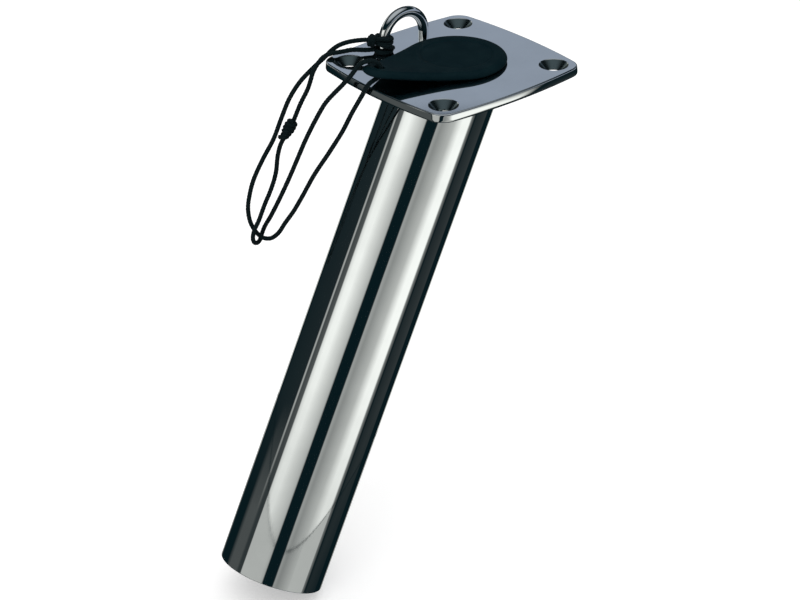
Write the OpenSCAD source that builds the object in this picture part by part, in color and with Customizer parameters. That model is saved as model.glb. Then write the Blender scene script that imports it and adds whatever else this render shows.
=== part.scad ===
// Flush-mount rod holder: a polished flange with a slanted socket tube, a welded eye,
// and a rubber plug cap on a braided lanyard. Millimetres, +Z out of the deck.
// The origin is the centre of the screw pattern, on the flange's underside.

/* [Flange] */
// Width of the flange across the middle of its sides
flange_w = 91; // [84:1:110]
// Thickness of the flange
flange_t = 4; // [3.5:0.5:6]
// How far each side bows out over the middle 60 mm
side_bow = 1.6; // [0.8:0.1:3]
// Radius of the flange's corners
corner_r = 8.5; // [6:0.5:12]
// Radius of the polished top edge
edge_r = 1; // [0.5:0.1:1.5]
// Distance between neighbouring screws, both ways
screw_pitch = 66; // [60:1:72]
// Clearance hole of the M6 screws
screw_d = 6.6; // [5.5:0.1:7]
// Widest diameter of the 90 degree countersink
sink_d = 13.6; // [12:0.1:13.8]

/* [Socket] */
// Lean of the tube away from the flange's normal, in degrees
lean = 27; // [15:1:30]
// Outside diameter of the tube
tube_d = 50; // [48:0.5:52]
// Wall of the tube
tube_wall = 1.5; // [1.2:0.1:2]
// Length of the tube's axis below the flange's top
tube_len = 256; // [180:1:300]
// Offset of the mouth's centre from the screw pattern's centre, towards the tube's high side
mouth_x = 1; // [0:0.5:2]
// Bore of the liner and of the mouth in the flange
bore_d = 41; // [40:0.5:42]
// Diameter of the cross pin that stops the rod
pin_d = 8; // [6:0.5:10]
// Distance of the pin's axis from the tube's lower end
pin_up = 24; // [18:1:40]

/* [Eye] */
// Diameter of the eye's rod
eye_rod = 5; // [4:0.5:6]
// Distance between the eye's legs, centre to centre
eye_span = 24; // [22:1:28]
// Height of the eye's straight legs above the flange
eye_leg = 4.5; // [3:0.5:8]
// Place of the eye's middle along the flange
eye_x = -3; // [-6:1:0]
// Distance of the eye from the flange's middle line
eye_y = 30; // [29.5:0.5:31]

/* [Cap] */
// Radius of the lid's round part
lid_r = 24; // [23.5:0.5:24.5]
// Radius of the tail that holds the cord
tail_r = 7.5; // [6:0.5:9]
// Distance from the lid's centre to the tail's centre
tail_reach = 41.5; // [38:0.5:42]
// Turn of the soft cap about the lid's centre, in degrees
tail_turn = 5; // [0:1:6]
// Thickness of the lid
lid_t = 3.4; // [3:0.1:4]
// Depth of the shallow round dish in the lid's top
dish_deep = 0.35; // [0.2:0.05:0.5]
// Diameter of the hole for the cord
cord_hole = 5; // [4.5:0.5:6]
// Depth of the skirt along the tube
skirt_deep = 24; // [18:1:30]
// Wall of the skirt
skirt_wall = 2.4; // [2:0.1:3]

/* [Cord] */
// Diameter of the braided cord
cord_d = 2; // [1.8:0.1:2.2]

/* [Hidden] */
$fn = 96;

half_w = flange_w / 2;
// radius of the arc that each side follows, from its bow over a 30 mm half chord
side_r = 30 * 30 / (2 * side_bow);
// centre of a corner's arc, which touches both side arcs from within
corner_c = corner_centre(half_w - side_r, side_r - corner_r);
sink_deep = (sink_d - screw_d) / 2;
tube_in = tube_d - 2 * tube_wall;
// size of the weld fillets at the cross pin's ends
pin_bead = 1.8;
// how far the tube's axis shifts along X for each millimetre of depth
slope = tan(lean);
eye_bend = eye_span / 2;
cord_r = cord_d / 2;
// air left between the cap and the pieces that it plugs
fit_gap = 0.3;
// gap between the lid and the flange
seat_gap = 0.2;
skirt_r = bore_d / 2 - fit_gap - 0.4;
rib_r = bore_d / 2 - fit_gap;
// the lid's centre lies over the mouth, pushed along with the slanted skirt
lid_x = mouth_x + 1.2;
// the tail lifts along an arc: its rise is lift times the square of the distance past lift_from
lift = 0.0024;
lift_from = 1.4;

function corner_centre(side_c, reach) =
    (side_c + sqrt(side_c * side_c - 2 * (side_c * side_c - reach * reach))) / 2;

// ---- flange ----

// one side's arc and the corner that follows it, turned by quarter, inset evenly
function arc_points(cx, cy, r, from, to, steps) =
    [for (i = [0 : steps]) let (a = from + (to - from) * i / steps)
        [cx + r * cos(a), cy + r * sin(a)]];

function quarter_turn(p, n) = n == 0 ? p : quarter_turn([-p[1], p[0]], n - 1);

function flange_outline(inset) =
    let (side_c = half_w - side_r, corner_at = atan2(corner_c, corner_c - side_c))
    [for (n = [0 : 3], p = concat(
        arc_points(side_c, 0, side_r - inset, -corner_at, corner_at, 14),
        arc_points(corner_c, corner_c, corner_r - inset, corner_at + 5, 85 - corner_at, 8)))
        quarter_turn(p, n)];

// closed rings of points stacked into a solid, with flat convex ends
module stack_rings(rings) {
    n = len(rings[0]);
    last = len(rings) - 1;
    polyhedron(
        points = [for (ring = rings, p = ring) p],
        faces = concat(
            [[for (i = [0 : n - 1]) i]],
            [[for (i = [n - 1 : -1 : 0]) last * n + i]],
            [for (k = [0 : last - 1], i = [0 : n - 1]) let (j = (i + 1) % n)
                [k * n + i, (k + 1) * n + i, (k + 1) * n + j, k * n + j]]));
}

// the plate with a small chamfer below and its rounded edge on top
module flange_body() {
    layers = concat([[0.3, 0], [0, 0.3]], [for (a = [0, 30, 60, 90])
        [edge_r * (1 - cos(a)), flange_t - edge_r + edge_r * sin(a)]]);
    stack_rings([for (layer = layers)
        [for (p = flange_outline(layer[0])) [p[0], p[1], layer[1]]]]);
}

// a cylinder on the socket's axis, from s0 to s1 millimetres below the flange's top
module on_axis(r, s0, s1) {
    translate([mouth_x, 0, flange_t]) rotate([0, lean, 0])
        translate([0, 0, -s1]) cylinder(r = r, h = s1 - s0);
}

module screw_holes() {
    for (x = [-1, 1], y = [-1, 1])
        translate([x * screw_pitch / 2, y * screw_pitch / 2, 0]) {
            translate([0, 0, -1]) cylinder(d = screw_d, h = flange_t + 2, $fn = 48);
            translate([0, 0, flange_t - sink_deep])
                cylinder(d1 = screw_d, d2 = sink_d + 0.2, h = sink_deep + 0.1, $fn = 48);
        }
}

module eye_legs(below) {
    for (x = [-1, 1])
        translate([eye_x + x * eye_span / 2, eye_y, -below])
            cylinder(d = eye_rod, h = flange_t + eye_leg + below, $fn = 48);
}

module flange() {
    color("silver") difference() {
        flange_body();
        screw_holes();
        on_axis(bore_d / 2, -20, 30);
        eye_legs(1);
    }
}

// ---- socket ----

module below_flange() {
    translate([-250, -100, -300]) cube([400, 200, 300]);
}

module tube() {
    lip = 0.4;
    color("gainsboro") intersection() {
        translate([mouth_x, 0, flange_t]) rotate([0, lean, 0]) rotate_extrude() polygon([
            [tube_in / 2, 20], [tube_in / 2, lip - tube_len], [tube_in / 2 + lip, -tube_len],
            [tube_d / 2 - lip, -tube_len], [tube_d / 2, lip - tube_len], [tube_d / 2, 20]]);
        below_flange();
    }
}

// the line where a slanted cylinder meets the flange's underside
function weld_line(r, a) =
    [mouth_x - flange_t * slope + r / cos(lean) * cos(a), r * sin(a), 0];

module tube_weld() {
    leg = 2.6;
    color("darkgray") difference() {
        intersection() {
            sweep_loop([for (i = [0 : 71]) weld_line(tube_d / 2, i * 5)], leg, 10);
            below_flange();
        }
        on_axis(tube_d / 2, -20, 60);
    }
}

// liner: stops under the flange, and straddles the cross pin with two slots
module rod_liner() {
    end_s = tube_len - pin_up + 7;
    color("dimgray") difference() {
        intersection() {
            difference() {
                on_axis(tube_in / 2, -20, end_s);
                on_axis(bore_d / 2, -30, end_s + 10);
            }
            below_flange();
        }
        at_pin() {
            cross_bar(pin_d / 2 + pin_bead + 0.4, tube_d);
            translate([0, 0, -10]) cube([pin_d + 2 * pin_bead + 0.8, tube_d, 20], center = true);
        }
    }
}

// the frame at the cross pin's middle, with -Z down the socket
module at_pin() {
    translate([mouth_x, 0, flange_t]) rotate([0, lean, 0])
        translate([0, 0, pin_up - tube_len]) children();
}

module cross_bar(r, length) {
    rotate([90, 0, 0]) cylinder(r = r, h = length, center = true, $fn = 64);
}

module gimbal_pin() {
    color("lightgray") intersection() {
        at_pin() cross_bar(pin_d / 2, tube_d);
        on_axis(tube_in / 2, 0, tube_len);
    }
}

// a conical fillet round each end of the pin, against the tube's inner wall
module pin_welds() {
    from = tube_in / 2 - pin_bead;
    bead = pin_bead + 1;
    color("darkgray") intersection() {
        at_pin() for (s = [-1, 1]) rotate([s * 90, 0, 0]) rotate_extrude($fn = 64)
            translate([pin_d / 2 + 0.02, from]) polygon([[0, 0], [bead, bead], [0, bead]]);
        on_axis(tube_in / 2 - 0.02, 0, tube_len);
    }
}

// ---- eye ----

module eye_staple() {
    color("silver") union() {
        eye_legs(1);
        translate([eye_x, eye_y, flange_t + eye_leg]) rotate([90, 0, 0])
            rotate_extrude(angle = 180) translate([eye_bend, 0]) circle(d = eye_rod, $fn = 48);
    }
}

module eye_welds() {
    bead = 1.2;
    color("darkgray") difference() {
        for (x = [-1, 1])
            translate([eye_x + x * eye_span / 2, eye_y, 0]) rotate_extrude($fn = 48)
                intersection() {
                    translate([eye_rod / 2, 0]) circle(r = bead, $fn = 24);
                    translate([0, -bead]) square([eye_rod / 2 + bead, bead]);
                }
        eye_legs(1);
    }
}

// ---- cap ----

// teardrop outline in the lid's own frame: the round part at the origin, the tail along -X.
// Points run from the round part's front, over the upper flank and the tail, and back.
function lid_outline(inset) =
    let (meet = acos(-(lid_r - tail_r) / tail_reach), r1 = lid_r - inset, r2 = tail_r - inset,
         join1 = [r1 * cos(meet), r1 * sin(meet)],
         join2 = [r2 * cos(meet) - tail_reach, r2 * sin(meet)])
    concat(
        [for (i = [0 : 15]) let (a = 3.5 + (meet - 3.5) * i / 15) [r1 * cos(a), r1 * sin(a)]],
        [for (i = [1 : 8]) join1 + (join2 - join1) * i / 8],
        [for (i = [1 : 6]) let (a = meet + (176 - meet) * i / 6)
            [r2 * cos(a) - tail_reach, r2 * sin(a)]]);

function mirrored(points) =
    [for (i = [len(points) - 1 : -1 : 0]) [points[i][0], -points[i][1]]];

// how far the soft lid stands up at x in its own frame
function rise(x) = lift * pow(min(x - lift_from, 0), 2);

// one closed ring of the lid: the outline inset, lifted along the tail
function lid_ring(inset, z) =
    [for (p = concat(lid_outline(inset), mirrored(lid_outline(inset)))) [p[0], p[1], z + rise(p[0])]];

// the lid's edge from its underside to the top: inset and height
lid_edge = [[0.9, 0], [0.1, 0.7], [0, 1.3], [0.5, 2.2], [1.5, 2.95], [2.8, lid_t]];

module lid_shell() {
    rings = [for (e = lid_edge) lid_ring(e[0], e[1])];
    n = len(rings[0]);
    last = len(rings) - 1;
    // the caps are ladders of level strips, so they follow the lift
    function rung(base, i) = [base + i, base + i + 1, base + n - 2 - i, base + n - 1 - i];
    polyhedron(
        points = [for (ring = rings, p = ring) p],
        faces = concat(
            [for (k = [0 : last - 1], i = [0 : n - 1])
                [k * n + i, (k + 1) * n + i, (k + 1) * n + (i + 1) % n, k * n + (i + 1) % n]],
            [for (i = [0 : n / 2 - 2]) rung(0, i)],
            [for (i = [0 : n / 2 - 2]) let (r = rung(last * n, i)) [r[3], r[2], r[1], r[0]]]));
}

// ribbed hollow skirt on the socket's axis, its top inside the lid
module skirt() {
    rib_at = [6, 12, 18];
    intersection() {
        translate([mouth_x, 0, flange_t]) rotate([0, lean, 0]) rotate_extrude() difference() {
            union() {
                translate([0, -skirt_deep]) square([skirt_r, skirt_deep + 15]);
                for (s = rib_at) translate([0, -s - 1]) polygon([
                    [0, 0], [skirt_r, -0.4], [rib_r, 0.7], [rib_r, 1.2], [skirt_r, 1.6], [0, 1.6]]);
            }
            // moulded hollow, open below, and the lead-in at the skirt's lower edge
            translate([0, -skirt_deep - 1]) square([skirt_r - skirt_wall, skirt_deep - 11]);
            translate([skirt_r, -skirt_deep]) rotate(45) square(2.4, center = true);
        }
        translate([-100, -100, -100]) cube([200, 200, 100 + flange_t + 2]);
    }
}

module in_lid_frame() {
    translate([lid_x, 0, flange_t + seat_gap]) rotate([0, 0, -tail_turn]) children();
}

module plug_cap() {
    color([0.09, 0.12, 0.13]) difference() {
        union() {
            in_lid_frame() lid_shell();
            skirt();
        }
        in_lid_frame() {
            translate([1, 0, lid_t - dish_deep]) cylinder(d = 34, h = 5);
            translate([-tail_reach, 0, 0]) cylinder(d = cord_hole, h = 20, $fn = 32);
        }
    }
}

// ---- cord ----

// frames along a path: each ring's centre with two axes across the path
function unit(v) = v / norm(v);
function along(p, i) = unit(p[min(i + 1, len(p) - 1)] - p[max(i - 1, 0)]);
function carried(axis, dir) = unit(axis - dir * (axis * dir));
function path_axes(p, i = 0, axis = [0.3, -0.8, 0.5]) =
    i == len(p) ? [] :
    let (a = carried(axis, along(p, i))) concat([a], path_axes(p, i + 1, a));

function tube_rings(p, r, sides) =
    let (axes = path_axes(p))
    [for (i = [0 : len(p) - 1], k = [0 : sides - 1])
        let (b = cross(along(p, i), axes[i]), a = 360 * k / sides)
        p[i] + r * (axes[i] * cos(a) + b * sin(a))];

module sweep_path(p, r, sides) {
    n = len(p);
    polyhedron(
        points = tube_rings(p, r, sides),
        faces = concat(
            [[for (k = [0 : sides - 1]) k]],
            [[for (k = [sides - 1 : -1 : 0]) (n - 1) * sides + k]],
            [for (i = [0 : n - 2], k = [0 : sides - 1]) let (m = (k + 1) % sides)
                [i * sides + k, (i + 1) * sides + k, (i + 1) * sides + m, i * sides + m]]));
}

// a round bar along a level closed loop
module sweep_loop(p, r, sides) {
    n = len(p);
    function out(i) = let (t = unit(p[(i + 1) % n] - p[(i + n - 1) % n])) [t[1], -t[0], 0];
    polyhedron(
        points = [for (i = [0 : n - 1], k = [0 : sides - 1]) let (a = 360 * k / sides)
            p[i] + r * (out(i) * cos(a) + [0, 0, 1] * sin(a))],
        faces = [for (i = [0 : n - 1], k = [0 : sides - 1])
            let (j = (i + 1) % n, m = (k + 1) % sides)
            [i * sides + k, i * sides + m, j * sides + m, j * sides + k]]);
}

// the lanyard's one length: off the hitch, over the corner, down the outer run, up to the tail,
// through its hole, down the inner run and back to the hitch
outer_run = [
    [-18.5, 31.5, 10], [-22, 33.5, 11], [-28, 38, 10.5], [-32, 41, 9], [-34.5, 43.5, 6.5],
    [-37.5, 45, 3.5], [-43, 47, -1], [-49, 50, -7.5], [-53.5, 52, -14.5], [-57, 54.5, -24.5],
    [-60.5, 57, -35.5], [-64.5, 60.5, -45.5], [-68.5, 63.5, -56.5], [-70, 65, -64],
    [-71, 65.5, -71], [-70.5, 65, -78], [-69, 64, -82.5], [-67.3, 62.9, -85.5]];
tail_loop = [
    [-65.5, 61.4, -87.2], [-63, 59.3, -87.3], [-60.5, 57, -84.8], [-58.5, 53.5, -78.5],
    [-57, 48.5, -71], [-55.5, 43, -61.5], [-54, 35.5, -48.5], [-51.5, 25.5, -33],
    [-50, 17.5, -20.5], [-49, 12, -10.5], [-48, 8, -3.5], [-47.2, 5.5, 1], [-46.8, 3.4, 4.8],
    [-45.2, 2.8, 6.4], [-42.6, 2.9, 7.1], [-40.2, 3.2, 7.7], [-38.6, 3.5, 9.5],
    [-38.3, 3.8, 11.4], [-39, 4.3, 13.4], [-40.9, 5.4, 14.8], [-43.4, 7.4, 14.8],
    [-45.4, 9.2, 13.6], [-46.9, 10.8, 11], [-48.2, 12.4, 8], [-48.8, 15, 4.8], [-49.2, 18.5, 1],
    [-52.5, 26, -8.5], [-54.5, 31, -17.5], [-56.5, 37, -29.5], [-58, 42.5, -41.5],
    [-59.5, 48, -53.5], [-61.5, 54.5, -67], [-62.5, 59.5, -76], [-63.5, 63, -82]];
inner_run = [
    [-64.5, 64.5, -86.5], [-66, 64, -88.8], [-68.3, 63.2, -89.4], [-70.4, 62.4, -88.3],
    [-71.7, 61.8, -85.8], [-71.5, 61, -81.5], [-69, 60, -76], [-66, 59, -68.5], [-62.5, 58, -61],
    [-60, 57, -53], [-59, 56, -43.5], [-57.5, 55, -37.5], [-54, 52, -30], [-52, 50.5, -24],
    [-50, 49, -18], [-47, 46.5, -10], [-44.5, 45, -1.5], [-41.8, 44.2, 2.4], [-39.2, 43.7, 4.4],
    [-36.5, 42, 5.6], [-31, 39.5, 6], [-28, 37.5, 6.5], [-22, 33.5, 6], [-18.5, 31.5, 6]];
// the joining knot lies between these two points of the inner run
knot_from = inner_run[11];
knot_to = inner_run[13];

module lanyard() {
    color([0.06, 0.08, 0.09]) sweep_path(concat(outer_run, tail_loop, inner_run), cord_r, 8);
}

module cord_turn(r) {
    rotate_extrude($fn = 48) translate([r, 0]) circle(r = cord_r, $fn = 16);
}

// at a length along the eye's rod above the flange, with Z along the rod
module on_eye_leg(length) {
    bend = max(length - eye_leg, 0) / eye_bend * 180 / PI;
    translate([eye_x, eye_y, flange_t + min(length, eye_leg)]) rotate([0, bend, 0])
        translate([-eye_bend, 0, 0]) children();
}

// wraps on the eye's leg: one low turn, two high turns, and the riding strand between
module eye_hitch() {
    wrap_r = eye_rod / 2 + cord_r + 0.02;
    color([0.05, 0.07, 0.08]) {
        for (length = [1.4, 5.2, 7.2]) on_eye_leg(length) cord_turn(wrap_r);
        on_eye_leg(1.4) rotate([0, 0, 200]) translate([wrap_r + 1.5, 0, 0]) {
            cylinder(r = cord_r, h = 5.6, $fn = 16);
            sphere(r = cord_r, $fn = 16);
            translate([0, 0, 5.6]) sphere(r = cord_r, $fn = 16);
        }
    }
}

// two barrels of turns, one short and one long, round the inner run
module joining_knot() {
    dir = unit(knot_to - knot_from);
    color([0.05, 0.07, 0.08]) translate(knot_from)
        rotate([0, acos(dir[2]), atan2(dir[1], dir[0])])
            for (at = [0.5, 2.3, 6.4, 8.2, 10, 11.8]) translate([0, 0, at])
                cord_turn(1.8 * cord_r);
}

flange();
tube();
tube_weld();
eye_staple();
eye_welds();
rod_liner();
gimbal_pin();
pin_welds();
plug_cap();
lanyard();
eye_hitch();
joining_knot();
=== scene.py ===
"""The flush-mount rod holder: its camera, cords, pieces, finishes and studio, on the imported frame."""
import logging
import math
from contextlib import contextmanager
from dataclasses import dataclass
from enum import Enum
from typing import Any, Callable, Iterator, Sequence

import bmesh
import bpy
import numpy as np
from mathutils import Matrix, Vector
from mathutils.bvhtree import BVHTree


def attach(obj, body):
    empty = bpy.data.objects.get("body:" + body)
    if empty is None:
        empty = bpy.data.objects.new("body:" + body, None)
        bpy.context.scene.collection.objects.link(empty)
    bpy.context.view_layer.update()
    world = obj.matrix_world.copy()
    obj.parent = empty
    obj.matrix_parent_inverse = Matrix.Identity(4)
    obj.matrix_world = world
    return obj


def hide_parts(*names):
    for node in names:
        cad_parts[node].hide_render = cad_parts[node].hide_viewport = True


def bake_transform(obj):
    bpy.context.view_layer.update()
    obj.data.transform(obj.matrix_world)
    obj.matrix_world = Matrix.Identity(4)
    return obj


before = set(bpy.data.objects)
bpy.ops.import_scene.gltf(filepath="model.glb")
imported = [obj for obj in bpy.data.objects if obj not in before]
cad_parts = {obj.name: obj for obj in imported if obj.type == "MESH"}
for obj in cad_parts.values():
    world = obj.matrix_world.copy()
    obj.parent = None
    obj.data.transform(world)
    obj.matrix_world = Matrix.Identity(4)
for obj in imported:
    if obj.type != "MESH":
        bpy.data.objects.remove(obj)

log = logging.getLogger("rod_holder")

MM = 0.001
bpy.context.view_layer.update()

Piece = bpy.types.Object
Material = bpy.types.Material
Tree = bpy.types.NodeTree
Node = bpy.types.Node
Socket = bpy.types.NodeSocket
Triple = tuple[float, float, float]
Pairs = tuple[tuple[float, float], ...]
Route = tuple[Triple, ...]
Colour = Triple
# A placing function gives a point in millimetres for three numbers, which its user names.
Placing = Callable[[float, float, float], np.ndarray]

# The photograph's frame, in pixels.
FRAME_W, FRAME_H = 800, 600

# Named points of the photograph. None leaves that direction out.
IMAGE_POINTS: dict[str, tuple[float | None, float | None]] = {
    "object_left": (221.0, None),
    "object_right": (577.0, None),
    "object_top": (None, 6.5),
    "object_bottom": (None, 594.0),
    "front_screw_hole": (441.5, 105.3),
    "right_screw_hole": (553.6, 64.7),
    "back_screw_hole": (456.2, 23.3),
    "flange_left_end": (325.0, None),
    "flange_back_end": (None, 15.5),
    "eye_left_side": (376.9, None),
    "eye_right_side": (428.5, None),
    "lid_right_end": (508.0, None),
    "lid_tail_end": (361.0, None),
    "cord_hole": (379.4, 66.7),
    "lid_dish": (456.4, 54.2),
    "tube_lower_left": (221.0, 552.0),
    "tube_lower_right": (322.4, 588.8),
}


class Body(str, Enum):
    """The CAD bodies that pieces ride on."""

    HOLDER = "holder"
    PLUG = "plug"


class Cut(str, Enum):
    """What a boolean does with its tool."""

    TAKE_AWAY = "DIFFERENCE"
    ADD = "UNION"
    KEEP_WITHIN = "INTERSECT"


# ---------------------------------------------------------------- meshes


def linked(name: str, data: bpy.types.ID) -> Piece:
    """Returns a new object of the scene with this data."""
    obj = bpy.data.objects.new(name, data)
    bpy.context.scene.collection.objects.link(obj)
    return obj


@contextmanager
def reshaped(mesh: bpy.types.Mesh) -> Iterator[bmesh.types.BMesh]:
    """Lends a mesh for editing and keeps what was done to it."""
    shell = bmesh.new()
    shell.from_mesh(mesh)
    yield shell
    shell.to_mesh(mesh)
    shell.free()


def mesh_object(name: str, points: Sequence[Sequence[float]], faces: Sequence[Sequence[int]]) -> Piece:
    """Makes a closed mesh object.

    Args:
        name: The piece's name.
        points: Corners in millimetres, in the row frame.
        faces: Corner numbers of each face.

    Returns:
        The linked object, its doubles merged and its faces outwards.
    """
    mesh = bpy.data.meshes.new(name)
    mesh.from_pydata((np.asarray(points, float) * MM).tolist(), [], [tuple(f) for f in faces])
    with reshaped(mesh) as shell:
        bmesh.ops.remove_doubles(shell, verts=shell.verts, dist=1e-6)
        bmesh.ops.recalc_face_normals(shell, faces=shell.faces)
    return linked(name, mesh)


def stacked_rings(name: str, rings: Sequence[np.ndarray], looped: bool = False, capped: bool = True) -> Piece:
    """Joins rings of equal count into one skin.

    Args:
        name: The piece's name.
        rings: Each ring's points in millimetres.
        looped: The last ring joins the first, as round a hollow wall.
        capped: The first and last rings are closed with one face each.

    Returns:
        The object.
    """
    count, last = len(rings[0]), len(rings)
    faces: list[tuple[int, ...]] = []
    for k in range(last if looped else last - 1):
        here, there = k * count, (k + 1) % last * count
        for i in range(count):
            beside = (i + 1) % count
            faces.append((here + i, here + beside, there + beside, there + i))
    if capped and not looped:
        faces += [tuple(range(count)), tuple(range((last - 1) * count, last * count))]
    return mesh_object(name, np.concatenate(rings), faces)


def settle(obj: Piece) -> None:
    """Turns an object's modifiers into its mesh."""
    depsgraph = bpy.context.evaluated_depsgraph_get()
    mesh = bpy.data.meshes.new_from_object(
        obj.evaluated_get(depsgraph), preserve_all_data_layers=True, depsgraph=depsgraph
    )
    obj.modifiers.clear()
    obj.data = mesh


def carve(obj: Piece, tool: Piece, cut: Cut) -> None:
    """Applies one exact boolean and removes its tool.

    Args:
        obj: The piece that changes.
        tool: The other solid.
        cut: What is done with the tool.
    """
    step = obj.modifiers.new("carve", "BOOLEAN")
    step.operation, step.solver, step.object = cut.value, "EXACT", tool
    settle(obj)
    bpy.data.objects.remove(tool)


def ease_edges(obj: Piece, chosen: Callable[[Vector], bool], width: float, segments: int = 3) -> None:
    """Rounds the sharp edges whose two ends are chosen.

    Args:
        obj: The piece.
        chosen: Tests a corner, in millimetres.
        width: The rounding's width in millimetres.
        segments: Faces across the rounding.
    """
    with reshaped(obj.data) as shell:
        bmesh.ops.remove_doubles(shell, verts=shell.verts, dist=2e-6)
        edges = [
            e
            for e in shell.edges
            if len(e.link_faces) == 2
            and e.calc_face_angle(0.0) > math.radians(25)
            and all(chosen(v.co / MM) for v in e.verts)
        ]
        bmesh.ops.bevel(
            shell,
            geom=edges,
            offset=width * MM,
            offset_type="OFFSET",
            segments=segments,
            profile=0.5,
            affect="EDGES",
            clamp_overlap=True,
        )


def smooth_normals(obj: Piece, angle: float = 35.0) -> None:
    """Shades a piece smooth up to an angle, with its flat faces kept flat.

    Args:
        obj: The piece.
        angle: Edges sharper than this many degrees stay sharp.
    """
    obj.data.shade_smooth()
    obj.data.set_sharp_from_angle(angle=math.radians(angle))
    step = obj.modifiers.new("weighted", "WEIGHTED_NORMAL")
    step.keep_sharp = True
    settle(obj)


def dressed(obj: Piece, material: Material, slot: str) -> None:
    """Gives a piece its one material.

    Args:
        obj: The piece.
        material: Its material.
        slot: Not used.
    """
    obj.data.materials.clear()
    obj.data.materials.append(material)
    for face in obj.data.polygons:
        face.material_index = 0


def slab(name: str, low: float, high: float) -> Piece:
    """Returns a wide block between two heights in millimetres, used as a cutting tool."""
    half = 80
    corners = [(x, y, z) for x in (-half, half) for y in (-half, half) for z in (low, high)]
    faces = [(0, 1, 3, 2), (4, 6, 7, 5), (0, 4, 5, 1), (2, 3, 7, 6), (0, 2, 6, 4), (1, 5, 7, 3)]
    return mesh_object(name, corners, faces)


def arc(x: float, y: float, radius: float, angles: Sequence[float]) -> list[tuple[float, float]]:
    """Returns the points at these angles, in radians, on a circle round x, y."""
    return [(x + radius * math.cos(a), y + radius * math.sin(a)) for a in angles]


def turned_block(name: str, profile: Sequence[tuple[float, float]], steps: int, place: Placing) -> Piece:
    """Turns a profile round an axis into a solid.

    Args:
        name: The piece's name.
        profile: Radius and height of each ring, from one end to the other.
        steps: Points round the axis.
        place: Gives the point for a radius, a height and an angle in radians.

    Returns:
        The solid.
    """
    angles = [2 * math.pi * i / steps for i in range(steps)]
    return stacked_rings(name, [np.array([place(r, h, a) for a in angles]) for r, h in profile])


def smooth_line(points: np.ndarray, step: float) -> np.ndarray:
    """Runs one smooth curve through points.

    Args:
        points: The points it passes, in order.
        step: Distance between the points it returns.

    Returns:
        Evenly spaced points along the curve.
    """
    ends = np.vstack([2 * points[0] - points[1], points, 2 * points[-1] - points[-2]])
    knots = np.concatenate([[0.0], np.cumsum(np.sqrt(np.linalg.norm(np.diff(ends, axis=0), axis=1)))])
    fine: list[np.ndarray] = []
    for i in range(1, len(ends) - 2):
        t0, t1, t2, t3 = knots[i - 1 : i + 3]
        for t in np.linspace(t1, t2, 16, endpoint=False):
            a1 = (t1 - t) / (t1 - t0) * ends[i - 1] + (t - t0) / (t1 - t0) * ends[i]
            a2 = (t2 - t) / (t2 - t1) * ends[i] + (t - t1) / (t2 - t1) * ends[i + 1]
            a3 = (t3 - t) / (t3 - t2) * ends[i + 1] + (t - t2) / (t3 - t2) * ends[i + 2]
            b1 = (t2 - t) / (t2 - t0) * a1 + (t - t0) / (t2 - t0) * a2
            b2 = (t3 - t) / (t3 - t1) * a2 + (t - t1) / (t3 - t1) * a3
            fine.append((t2 - t) / (t2 - t1) * b1 + (t - t1) / (t2 - t1) * b2)
    line = np.array(fine + [points[-1]])
    reach = np.concatenate([[0.0], np.cumsum(np.linalg.norm(np.diff(line, axis=0), axis=1))])
    even = np.linspace(0, reach[-1], max(2, int(round(reach[-1] / step)) + 1))
    return np.stack([np.interp(even, reach, line[:, k]) for k in range(3)], axis=1)


# ---------------------------------------------------------------- nodes


@dataclass(frozen=True)
class Fade:
    """A steady change of a value between two places, held beyond them."""

    start: float
    end: float
    low: float = 0.0
    high: float = 1.0


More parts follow.
